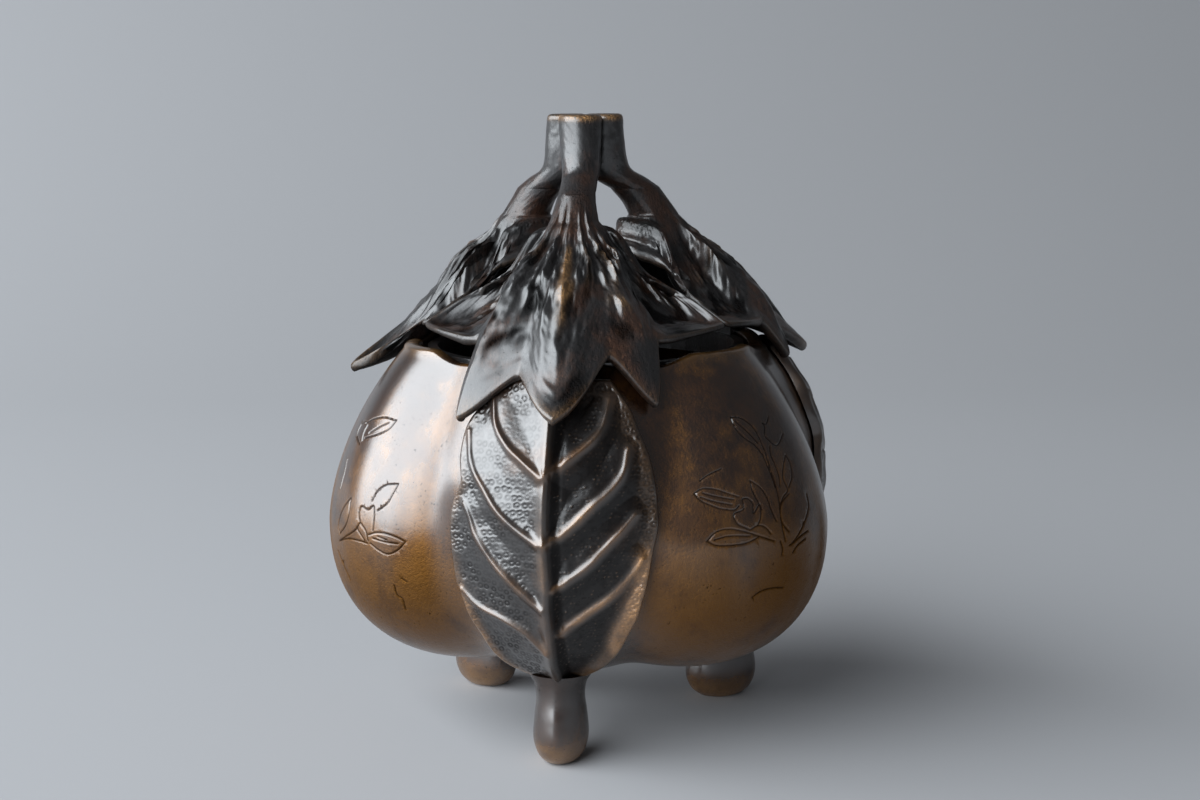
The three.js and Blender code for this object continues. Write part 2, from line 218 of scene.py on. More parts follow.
def line_distance(x: np.ndarray, y: np.ndarray, line: np.ndarray) -> tuple[np.ndarray, np.ndarray]:
    """Measure how far places are from a bent line.

    Args:
        x: first coordinates.
        y: second coordinates.
        line: corners of the line, one row each.

    Returns:
        Distances in the same unit, and the nearest place's share of the line.
    """
    nearest = np.full(np.shape(x), np.inf)
    share = np.zeros(np.shape(x))
    for number, ((ax, ay), (bx, by)) in enumerate(zip(line, line[1:])):
        length = max((bx - ax) ** 2 + (by - ay) ** 2, 1e-9)
        along = np.clip(((x - ax) * (bx - ax) + (y - ay) * (by - ay)) / length, 0.0, 1.0)
        gap = np.hypot(x - ax - along * (bx - ax), y - ay - along * (by - ay))
        share = np.where(gap < nearest, (number + along) / (len(line) - 1), share)
        nearest = np.minimum(nearest, gap)
    return nearest, share


def stem_rings(rows: np.ndarray, angle: np.ndarray, turn: float) -> np.ndarray:
    """Lay the unevenly cast rings of a stem, or of the neck that it runs into.

    Args:
        rows: each ring's height, distance from the lid's axis, radial and sideways half width.
        angle: places round a ring, in degrees.
        turn: turn of the piece, which tells one casting from another.

    Returns:
        Points, one row for each ring.
    """
    z, distance, radial, sideways = rows.T[..., None]
    cos, sin = np.cos(np.radians(angle)), np.sin(np.radians(angle))
    round_x, round_y = 5.0 * cos + turn + 40.0, 5.0 * sin + 0.9 * z
    lumps = 0.16 * drift(round_x, round_y, size=4.4, seed=9.0)
    lumps += 0.06 * drift(round_x, round_y, size=1.7, seed=10.0)
    lumps += 0.03 * drift(round_x, round_y, size=0.7, seed=12.0) - 0.1
    return np.stack(np.broadcast_arrays(distance + (radial + lumps) * cos, (sideways + lumps) * sin, z), axis=-1)


def keep_in_third(rings: np.ndarray) -> np.ndarray:
    """Keep a piece of the lid inside its own third, clear of its neighbours.

    Args:
        rings: points of the piece.

    Returns:
        The points, moved where they were past the limit.
    """
    limit = np.maximum(THIRD_SLOPE * rings[..., 0] - TOUCH_GAP, 0.0)
    rings[..., 1] = np.clip(rings[..., 1], -limit, limit)
    return rings


# Vessel skin, shared by the bowl, the leaves and the feet


@dataclass(frozen=True)
class Bulb:
    """A rounded bulb: two superellipse halves that meet at its waist."""

    distance: float
    radius: float
    waist: float
    below: float
    above: float
    power_below: float
    power_above: float

    def grown(self, margin: float) -> "Bulb":
        """Grow the bulb on every side by a margin."""
        return replace(
            self, radius=self.radius + margin, below=self.below + margin, above=self.above + margin)

    def radius_at(self, z: np.ndarray) -> np.ndarray:
        """Give the bulb's radius at heights.

        Args:
            z: heights.

        Returns:
            Radii, zero outside the bulb.
        """
        above = z > self.waist
        share = np.abs(z - self.waist) / np.where(above, self.above, self.below)
        power = np.where(above, self.power_above, self.power_below)
        inside = np.clip(1.0 - np.clip(share, 0.0, 1.0) ** power, 0.0, 1.0)
        return self.radius * inside ** (1.0 / power)

    def reach(self, azimuth: np.ndarray, elevation: np.ndarray) -> np.ndarray:
        """Measure from the core point to the bulb's skin.

        Args:
            azimuth: directions round the axis, in radians from the bulb's own.
            elevation: directions above level, in radians.

        Returns:
            Distances from the core point.
        """
        level = np.cos(elevation)
        ahead = level * np.cos(azimuth)
        aside = level * np.sin(azimuth)
        rise = np.sin(elevation)

        def outside(reach: np.ndarray) -> np.ndarray:
            """Tell whether a distance is past the bulb's skin."""
            gap = np.hypot(reach * ahead - self.distance, reach * aside)
            return gap > self.radius_at(CORE_Z + reach * rise)

        start = np.zeros(np.shape(azimuth))
        return first_where(outside, start, start + 2.0 * (self.distance + self.radius))


@dataclass(frozen=True)
class VesselSkin:
    """The outer form of the vessel: fruits, leaf lobes and shoulder run softly together."""

    fruit: Bulb = Bulb(24.4, 29.1, 44.1, 28.0, 42.0, 2.3, 1.6)
    lobe: Bulb = Bulb(20.0, 28.7, 52.0, 36.0, 31.0, 2.3, 2.0)
    shoulder: Bulb = Bulb(0.0, 40.0, 58.0, 30.0, 41.0, 2.0, 2.0)
    sharpness: float = 34.0
    rim_z: float = 79.6
    mouth_radius: float = 33.0
    rim_width: float = 2.3
    wall: float = 2.4

    def reach(self, azimuth: np.ndarray, elevation: np.ndarray, margin: float = 0.0) -> np.ndarray:
        """Measure from the core point to the skin.

        Args:
            azimuth: directions round the axis, in radians, 0 at a leaf.
            elevation: directions above level, in radians.
            margin: growth of every bulb.

        Returns:
            Distances from the core point.
        """
        azimuth, elevation = np.broadcast_arrays(azimuth, elevation)
        total = self.shoulder.grown(margin).reach(azimuth, elevation) ** self.sharpness
        for turn in range(3):
            ahead = azimuth - math.tau * turn / 3
            total = total + self.lobe.grown(margin).reach(ahead, elevation) ** self.sharpness
            total = total + self.fruit.grown(margin).reach(ahead - math.pi / 3, elevation) ** self.sharpness
        return total ** (1.0 / self.sharpness)

    def point(self, azimuth: np.ndarray, elevation: np.ndarray, reach: np.ndarray) -> np.ndarray:
        """Place points seen from the core point.

        Args:
            azimuth: directions round the axis, in radians.
            elevation: directions above level, in radians.
            reach: distances from the core point.

        Returns:
            Points, with x, y and z in the last axis.
        """
        level = reach * np.cos(elevation)
        return np.stack(np.broadcast_arrays(
            level * np.cos(azimuth), level * np.sin(azimuth), CORE_Z + reach * np.sin(elevation)), axis=-1)

    def directions(self, points: np.ndarray) -> tuple[np.ndarray, np.ndarray, np.ndarray]:
        """Give the direction and distance of points from the core point.

        Args:
            points: points, with x, y and z in the last axis.

        Returns:
            Azimuths, elevations and distances.
        """
        level = np.hypot(points[..., 0], points[..., 1])
        rise = points[..., 2] - CORE_Z
        return np.arctan2(points[..., 1], points[..., 0]), np.arctan2(rise, level), np.hypot(level, rise)

    def elevation_at(self, azimuth: np.ndarray, z: np.ndarray, margin: float = 0.0) -> np.ndarray:
        """Find the elevation where the skin reaches a height.

        Args:
            azimuth: directions round the axis, in radians.
            z: heights.
            margin: growth of every bulb.

        Returns:
            Elevations in radians.
        """
        azimuth, z = np.broadcast_arrays(azimuth, z)

        def higher(elevation: np.ndarray) -> np.ndarray:
            """Tell whether the skin lies above the height."""
            return CORE_Z + self.reach(azimuth, elevation, margin) * np.sin(elevation) > z

        return first_where(higher, np.full(z.shape, -1.4), np.full(z.shape, 1.45))

    def rim_elevation(self, azimuth: np.ndarray, lower: float = 0.0) -> np.ndarray:
        """Find the elevation of the upper edge: level, but never inside the mouth.

        Args:
            azimuth: directions round the axis, in radians.
            lower: how far below the edge, in millimetres.

        Returns:
            Elevations in radians.
        """
        def past(elevation: np.ndarray) -> np.ndarray:
            """Tell whether the skin lies above the edge or inside the mouth.

            Args:
                elevation: trial elevations.

            Returns:
                One truth value for each of them.
            """
            reach = self.reach(azimuth, elevation)
            high = CORE_Z + reach * np.sin(elevation) > self.rim_z - lower
            near = reach * np.cos(elevation) < self.mouth_radius + self.rim_width + 0.6 * lower
            return high | near

        return first_where(past, np.zeros(np.shape(azimuth)), np.full(np.shape(azimuth), 1.55))


SKIN = VesselSkin()


# Meshes


@dataclass
class Shape:
    """Points in millimetres, faces and one value per point for each named field."""

    points: np.ndarray
    faces: list[tuple[int, ...]]
    fields: Fields = field(default_factory=dict)


def grid_faces(rows: int, columns: int, around: bool) -> list[tuple[int, ...]]:
    """Join a grid of points with four-sided faces.

    Args:
        rows: number of rows of points.
        columns: number of points in a row.
        around: whether the last column joins the first.

    Returns:
        Corner numbers of each face.
    """
    spans = columns if around else columns - 1
    row, column = np.meshgrid(np.arange(rows - 1), np.arange(spans), indexing="ij")
    after = (column + 1) % columns
    corners = np.stack([row * columns + column, row * columns + after,
                        (row + 1) * columns + after, (row + 1) * columns + column], axis=-1)
    return [tuple(face) for face in corners.reshape(-1, 4).tolist()]


def loft(rings: np.ndarray, fields: Fields) -> Shape:
    """Skin a stack of rings and close each end at a middle point.

    Args:
        rings: points, one row for each ring.
        fields: one value per point for each name.

    Returns:
        The closed shape.
    """
    rows, columns = rings.shape[:2]
    points = np.vstack([rings.reshape(-1, 3), rings[0].mean(axis=0), rings[-1].mean(axis=0)])
    faces = grid_faces(rows, columns, True)
    first, last = rows * columns, rows * columns + 1
    base = (rows - 1) * columns
    for column in range(columns):
        after = (column + 1) % columns
        faces.append((first, after, column))
        faces.append((last, base + column, base + after))
    values = {}
    for name, value in fields.items():
        values[name] = np.concatenate([value.ravel(), [value[0].mean(), value[-1].mean()]])
    return Shape(points, faces, values)


# Materials


class Socket:
    """An output of a shader node that takes part in sums."""

    def __init__(self, graph: "Graph", output: bpy.types.NodeSocket) -> None:
        """Wrap an output of a node."""
        self.graph = graph
        self.output = output

    def maths(self, operation: str, *others: "Socket | float", clamp: bool = False) -> "Socket":
        """Join this value with others in one Math node."""
        values = dict(enumerate((self, *others)))
        return self.graph.node("ShaderNodeMath", values, operation=operation, use_clamp=clamp)

    def __add__(self, other: "Socket | float") -> "Socket":
        """Add another value."""
        return self.maths("ADD", other)

    def __sub__(self, other: "Socket | float") -> "Socket":
        """Take another value away."""
        return self.maths("SUBTRACT", other)

    def __rsub__(self, other: float) -> "Socket":
        """Take this value away from a number."""
        return self.graph.node("ShaderNodeMath", {0: other, 1: self}, operation="SUBTRACT")

    def __mul__(self, other: "Socket | float") -> "Socket":
        """Multiply with another value."""
        return self.maths("MULTIPLY", other)

    __radd__ = __add__
    __rmul__ = __mul__

    def clamped(self) -> "Socket":
        """Keep the value from 0 to 1."""
        return self.maths("ADD", 0.0, clamp=True)

    def spread(self, low: float, high: float, to_low: float = 0.0, to_high: float = 1.0) -> "Socket":
        """Ease from to_low to to_high as the value passes from low to high."""
        values = {"Value": self, "From Min": low, "From Max": high, "To Min": to_low, "To Max": to_high}
        return self.graph.node("ShaderNodeMapRange", values, "Result", interpolation_type="SMOOTHSTEP")


class Graph:
    """The node tree of one material."""

    def __init__(self, name: str) -> None:
        """Start a material with its shader.

        Args:
            name: name of the material.
        """
        self.material = bpy.data.materials.new(name)
        self.material.use_nodes = True
        self.tree = self.material.node_tree
        self.shader = self.tree.nodes["Principled BSDF"]
        self.place = self.node("ShaderNodeTexCoord", {}, "Object")

    def node(self, kind: str, values: dict[str | int, object], output: str | int = 0,
             **settings: object) -> Socket:
        """Make one node.

        Args:
            kind: type of the node.
            values: sockets or numbers by input name or number.
            output: name or number of the output to give.
            settings: properties of the node.

        Returns:
            The chosen output.
        """
        made = self.tree.nodes.new(kind)
        for name, value in settings.items():
            setattr(made, name, value)
        for key, value in values.items():
            if isinstance(value, Socket):
                self.tree.links.new(value.output, made.inputs[key])
            else:
                made.inputs[key].default_value = value
        return Socket(self, made.outputs[output])

    def noise(self, size: float, detail: float = 3.0, roughness: float = 0.55, **settings: float) -> Socket:
        """Make mottling round 0.5, with patches of a size in millimetres and finer layers in them."""
        values = {"Vector": self.place, "Scale": 1.0 / (size * MM), "Detail": detail, "Roughness": roughness}
        return self.node("ShaderNodeTexNoise", {**values, **settings})

    def painted(self, name: str) -> Socket:
        """Read a field of the mesh by its name."""
        return self.node("ShaderNodeAttribute", {}, "Fac", attribute_name=name)

    def mix(self, factor: Socket | float, first: "Socket | Colour", second: "Socket | Colour") -> Socket:
        """Mix two colours.

        Args:
            factor: share of the second colour.
            first: colour at factor 0.
            second: colour at factor 1.

        Returns:
            The mixed colour.
        """
        values = {0: factor}
        for key, value in ((6, first), (7, second)):
            values[key] = value if isinstance(value, Socket) else (*value, 1.0)
        return self.node("ShaderNodeMix", values, 2, data_type="RGBA", clamp_factor=True)

    def bump(self, height: Socket, depth: float, under: Socket | None = None) -> Socket:
        """Raise the surface by a height.

        Args:
            height: height from 0 to 1.
            depth: depth of 1, in millimetres.
            under: another bump's result to add to.

        Returns:
            The bent normal.
        """
        values = {"Height": height, "Distance": depth * MM, "Strength": 1.0}
        if under:
            values["Normal"] = under
        return self.node("ShaderNodeBump", values)

    def feed(self, name: str, value: Socket | float) -> None:
        """Give the shader one of its inputs.

        Args:
            name: name of the input.
            value: socket or constant.
        """
        if isinstance(value, Socket):
            self.tree.links.new(value.output, self.shader.inputs[name])
        else:
            self.shader.inputs[name].default_value = value


@dataclass(frozen=True)
class Patina:
    """A patinated bronze finish. The mesh fields of wear, of hollows with painted shade, and of tone steer where
    it shows.
    """

    name: str
    dark: Colour
    body: Colour
    warm: Colour
    worn: Colour
    recess_and_shade: Colour
    smoothest: float = 0.26
    roughest: float = 0.46
    metallic: float = 0.92
    grain: float = 0.035
    pitting: float = 0.05
    coat: float = 1.0
    coat_roughness: float = 0.2
    coat_ior: float = 2.0
    dryness: float = 0.3
    flecks: float = 0.35
    streaking: float = 0.02
    painted: bool = True

    def make(self) -> bpy.types.Material:
        """Build the material.

        Returns:
            The new material.
        """
        graph = Graph(self.name)
        # Patterns
        clouds = graph.noise(17.0, detail=4.0, roughness=0.6)
        mottle = graph.noise(3.2, detail=5.0, roughness=0.62)
        speck = graph.noise(0.55, detail=3.0, roughness=0.6)
        if self.painted:
            worn, recess_and_shade, tone = (graph.painted(name) for name in ("worn", "recess_and_shade", "tone"))
        else:
            worn, recess_and_shade, tone = (clouds * 0.0 for _ in range(3))
        drawn = graph.node("ShaderNodeVectorMath", {0: graph.place, 1: (1.0, 1.0, 0.3)}, operation="MULTIPLY")
        streak = graph.noise(1.1, detail=4.0, roughness=0.7, Vector=drawn)
        # Colour: dark over body to warm, rubbed bright where worn, darkened in grooves, punches and wrinkles, and
        # with painted shade in the fruits' valleys, on the leaf's right half and under the calyxes
        depth = (clouds * 0.8 + mottle * 0.6 + streak * 0.45 + tone * 0.5).spread(0.6, 1.4)
        colour = graph.mix(depth, self.dark, self.body)
        blush = (graph.noise(9.0, roughness=0.6) + tone * 0.4 + streak * 0.3).spread(0.6, 0.92)
        colour = graph.mix(blush, colour, self.warm)
        rubbed = (worn * mottle.spread(0.3, 0.62, 0.55, 1.1) * speck.spread(0.3, 0.6, 0.75, 1.05)).clamped()
        colour = graph.mix(rubbed, colour, self.worn)
        fleck = (speck.spread(0.6, 0.72) * mottle.spread(0.42, 0.6) * self.flecks).clamped()
        colour = graph.mix(fleck, colour, self.recess_and_shade)
        # Patina of the hollows and painted shade both mix towards the recess colour here
        sunk_and_shaded = (recess_and_shade * speck.spread(0.25, 0.6, 1.1, 0.75)).clamped()
        colour = graph.mix(sunk_and_shaded, colour, self.recess_and_shade)
        # Surface: roughness, then waves, streaks, pits and grain
        rough = mottle.spread(0.3, 0.7, self.smoothest, self.roughest)
        rough = (rough + recess_and_shade * 0.22 - rubbed * 0.07 + fleck * 0.2 + streak * 0.1).clamped()
        uneven = graph.bump(graph.noise(5.5, detail=2.0, roughness=0.5), self.pitting * 3.0)
        uneven = graph.bump(streak, self.streaking, uneven)
        pitted = graph.bump(speck.spread(0.35, 0.75, 1.0, 0.0), self.pitting, uneven)
        grainy = graph.bump(graph.noise(0.22, detail=2.0, roughness=0.5), self.grain, pitted)
        graph.feed("Base Color", colour)
        graph.feed("Metallic", self.metallic)
        graph.feed("Roughness", rough)
        graph.feed("Normal", grainy)
        dry = tone.spread(0.0, 1.0, 0.0, self.dryness)
        graph.feed("Coat Weight", (self.coat - (recess_and_shade + fleck * 0.6) * 0.85 - dry).clamped())
        graph.feed("Coat Roughness", self.coat_roughness)
        graph.feed("Coat IOR", self.coat_ior)
        return graph.material


FRUIT_PATINA = Patina(
    "fruit_bronze", dark=(0.018, 0.006, 0.002), body=(0.06, 0.0195, 0.002), warm=(0.12, 0.047, 0.005),
    worn=(0.34, 0.18, 0.06), recess_and_shade=(0.003, 0.002, 0.002), smoothest=0.46, roughest=0.6, coat_roughness=0.22,
    dryness=1.05, flecks=0.75)
LEAF_PATINA = Patina(
    "leaf_bronze", dark=(0.011, 0.008, 0.007), body=(0.034, 0.023, 0.018), warm=(0.07, 0.031, 0.012),
    worn=(0.34, 0.17, 0.06), recess_and_shade=(0.003, 0.002, 0.002), smoothest=0.42, roughest=0.56, pitting=0.045,
    coat_roughness=0.3)
FOOT_PATINA = replace(FRUIT_PATINA, name="foot_bronze", coat_roughness=0.24, dryness=0.2)
LID_PATINA = Patina(
    "lid_bronze", dark=(0.008, 0.007, 0.007), body=(0.028, 0.024, 0.024), warm=(0.06, 0.024, 0.011),
    worn=(0.36, 0.19, 0.07), recess_and_shade=(0.003, 0.003, 0.003), smoothest=0.4, roughest=0.56, pitting=0.22,
    coat=0.75, coat_roughness=0.33, flecks=1.0, streaking=1.4)


# Pieces


@dataclass
class Piece:
    """One piece that stands for a CAD node."""

    node: str
    turn: float = 0.0
    body: ClassVar[Body] = Body.VESSEL
    slot: ClassVar[Slot] = Slot.FRUIT
    finish: ClassVar[Patina] = FRUIT_PATINA
    crease: ClassVar[float] = 60.0

    @property
    def azimuth(self) -> float:
        """Give the direction of the piece's +X in the object, in radians."""
        lid = LID_TURN if self.body is Body.LID else 0.0
        return math.radians(FRONT_AZIMUTH + lid + self.turn)

    def build(self) -> Shape:
        """Work out the piece's shape with its own direction along +X."""
        raise NotImplementedError

    def refine(self, mesh: bmesh.types.BMesh) -> None:
        """Change the mesh after it is made and before it is turned, in millimetres."""

    def make(self, materials: dict[str, bpy.types.Material]) -> bpy.types.Object:
        """Build the piece, dress it and put it in the place of its node.

        Args:
            materials: materials by the name of their finish.

        Returns:
            The new object.
        """
        shape = self.build()
        rough = bpy.data.meshes.new(self.node)
        rough.from_pydata(shape.points.tolist(), [], shape.faces)
        for name in ("worn", "recess_and_shade", "tone"):
            values = shape.fields.get(name, np.zeros(len(shape.points)))
            rough.attributes.new(name, "FLOAT", "POINT").data.foreach_set("value", values.astype(np.float32))
        mesh = bmesh.new()
        mesh.from_mesh(rough)
        bmesh.ops.remove_doubles(mesh, verts=mesh.verts[:], dist=1e-3)
        self.refine(mesh)
        bmesh.ops.recalc_face_normals(mesh, faces=mesh.faces[:])
        turned = Matrix.Rotation(self.azimuth, 4, "Z") @ Matrix.Scale(MM, 4)
        bmesh.ops.transform(mesh, matrix=turned, verts=mesh.verts[:])
        for face in mesh.faces:
            face.smooth = True
        for edge in mesh.edges:
            edge.smooth = edge.calc_face_angle(0.0) < math.radians(self.crease)
        mesh.to_mesh(rough)
        mesh.free()
        rough.materials.append(materials[self.finish.name])
        piece = bpy.data.objects.new(f"{self.node}_detailed", rough)
        bpy.context.scene.collection.objects.link(piece)
        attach(piece, self.body.value)
        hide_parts(self.node)
        LOG.info("%s: %d faces", piece.name, len(rough.polygons))
        return piece


@dataclass(frozen=True)
class Spray:
    """An incised spray on a fruit. Places are (degrees from the fruit's middle, height)."""

    azimuth: float
    lines: tuple[Line, ...]

    def route(self) -> np.ndarray:
        """Lay the lines on the skin.

        Returns:
            Points of all the lines, closely spaced.
        """
        routes = []
        for line in self.lines:
            curve = flowing(np.array(line), 90)
            turn = np.radians(curve[:, 0] + self.azimuth)
            elevation = SKIN.elevation_at(turn, curve[:, 1])
            routes.append(SKIN.point(turn, elevation, SKIN.reach(turn, elevation)))
        return np.vstack(routes)


LEFT_SPRAY = (
    ((3.8, 65.0), (6.9, 66.2), (10.9, 66.9), (15.2, 66.7)),
    ((15.2, 66.7), (14.0, 65.0), (11.2, 63.8), (6.2, 62.4)),
    ((7.6, 63.6), (10.6, 65.1), (13.1, 66.1)),
    ((5.3, 61.1), (1.7, 62.5), (1.3, 64.1), (2.9, 65.3)),
    ((5.9, 61.9), (5.1, 63.3), (5.3, 64.8)),
    ((1.4, 57.8), (2.2, 55.7), (2.3, 53.6), (2.2, 52.0)),
    ((8.5, 51.3), (6.5, 49.5), (5.0, 47.5), (4.3, 45.2), (5.1, 43.7)),
    ((5.1, 43.7), (7.8, 45.8), (8.7, 48.3), (8.5, 51.3)),
    ((17.4, 46.2), (17.3, 48.6), (16.7, 50.8), (15.1, 50.0), (12.9, 50.3), (12.5, 48.6), (13.2, 47.3)),
    ((13.2, 47.3), (15.2, 46.0), (16.1, 44.1)),
    ((13.2, 47.3), (11.3, 45.3), (4.7, 42.2)),
    ((15.8, 51.7), (17.0, 53.8), (19.1, 55.1), (22.0, 55.5)),
    ((22.0, 55.5), (21.3, 53.8), (20.2, 51.7), (18.0, 50.1)),
    ((4.7, 42.2), (9.3, 43.5), (13.4, 43.7), (15.9, 43.6)),
    ((12.1, 46.2), (13.8, 45.0), (15.1, 44.0)),
    ((16.1, 45.3), (18.4, 46.0), (20.9, 46.1), (23.7, 45.7), (25.9, 45.0)),
    ((25.9, 45.0), (24.1, 43.3), (21.6, 42.2), (19.3, 42.6), (16.8, 43.7)),
    ((17.5, 44.8), (20.9, 44.5), (24.1, 44.5)),
    ((18.9, 45.3), (21.3, 44.9)),
    ((3.5, 39.9), (5.0, 38.0), (6.5, 36.1), (7.4, 34.8)),
    ((22.1, 36.0), (22.2, 34.0), (23.3, 33.2), (23.0, 31.0)),
    ((24.3, 37.6), (25.5, 37.0)),
)
RIGHT_SPRAY = (
    ((-11.4, 68.4), (-9.1, 68.1), (-7.3, 67.1), (-6.1, 65.7), (-5.7, 63.7), (-5.4, 61.2)),
    ((-11.4, 68.4), (-11.4, 67.2), (-10.8, 65.6), (-9.5, 64.3), (-7.8, 63.2), (-6.4, 61.3)),
    ((-10.6, 67.6), (-8.5, 65.6), (-6.6, 63.3)),
    ((-0.1, 67.4), (-1.9, 66.4), (-3.1, 66.7), (-2.8, 66.0),
     (-3.8, 64.6), (-3.1, 63.5), (-1.0, 62.4), (2.6, 64.0)),
    ((-5.4, 61.2), (-5.5, 59.2), (-5.3, 56.9), (-5.2, 54.5),
     (-5.3, 52.2), (-5.6, 49.6), (-5.4, 47.2), (-5.0, 45.2)),
    ((-6.4, 61.3), (-6.1, 59.6), (-5.7, 57.4), (-5.4, 55.2)),
    ((-3.5, 62.5), (-4.1, 61.0), (-3.8, 59.4), (-3.6, 57.0), (-4.1, 55.2)),
    ((0.7, 60.4), (-1.2, 58.7), (-2.5, 56.5), (-2.0, 54.3), (-3.7, 53.3), (-5.1, 52.0)),
    ((0.7, 60.4), (1.3, 58.7), (0.6, 56.5), (-1.4, 54.7)),
    ((-1.8, 53.6), (-4.3, 52.4), (-5.5, 50.6), (-5.2, 48.5), (-3.8, 46.8)),
    ((4.5, 52.6), (4.3, 50.4), (2.3, 48.2), (-0.7, 45.9), (-3.4, 44.2)),
    ((-24.4, 55.5), (-22.3, 56.3), (-19.6, 56.0), (-17.2, 55.2), (-14.9, 54.4)),
    ((-24.4, 55.5), (-23.4, 54.3), (-21.3, 53.3), (-19.0, 52.5), (-16.4, 52.2), (-15.2, 52.9)),
    ((-22.6, 55.5), (-19.9, 54.8), (-16.1, 54.0)),
    ((-23.2, 54.8), (-20.4, 53.9), (-16.7, 53.1)),
    ((-11.5, 57.1), (-9.5, 55.7), (-8.3, 53.8), (-7.8, 51.5), (-6.9, 49.2)),
    ((-11.5, 57.1), (-11.4, 55.2), (-10.7, 53.2), (-10.1, 51.6)),
    ((-12.9, 54.0), (-14.2, 53.9), (-14.3, 52.2), (-16.6, 51.4), (-16.2, 49.7), (-14.7, 48.9), (-13.5, 48.3)),
    ((-12.9, 54.0), (-12.0, 53.0), (-12.2, 51.2), (-10.4, 52.7), (-10.6, 50.5), (-11.6, 49.0)),
    ((-22.9, 46.9), (-20.9, 48.4), (-18.2, 48.8), (-15.1, 48.2), (-11.7, 47.0), (-8.0, 45.6)),
    ((-22.9, 46.9), (-21.1, 46.0), (-18.1, 45.8), (-14.5, 46.0), (-11.7, 46.8)),
    ((-21.4, 47.0), (-18.3, 47.5), (-13.6, 47.2)),
    ((-13.5, 48.3), (-11.6, 48.9), (-9.9, 48.4), (-8.7, 47.1)),
    ((2.7, 45.9), (-0.3, 45.3), (-2.8, 44.4), (-3.9, 44.2)),
    ((1.5, 44.6), (-1.4, 43.7), (-2.8, 42.6)),
    ((-6.4, 45.4), (-5.9, 44.0), (-6.0, 42.7)),
    ((-12.6, 35.2), (-10.6, 36.2), (-7.8, 36.4), (-4.7, 36.0)),
    ((-22.7, 57.7), (-20.5, 58.7), (-17.5, 59.6)),
)


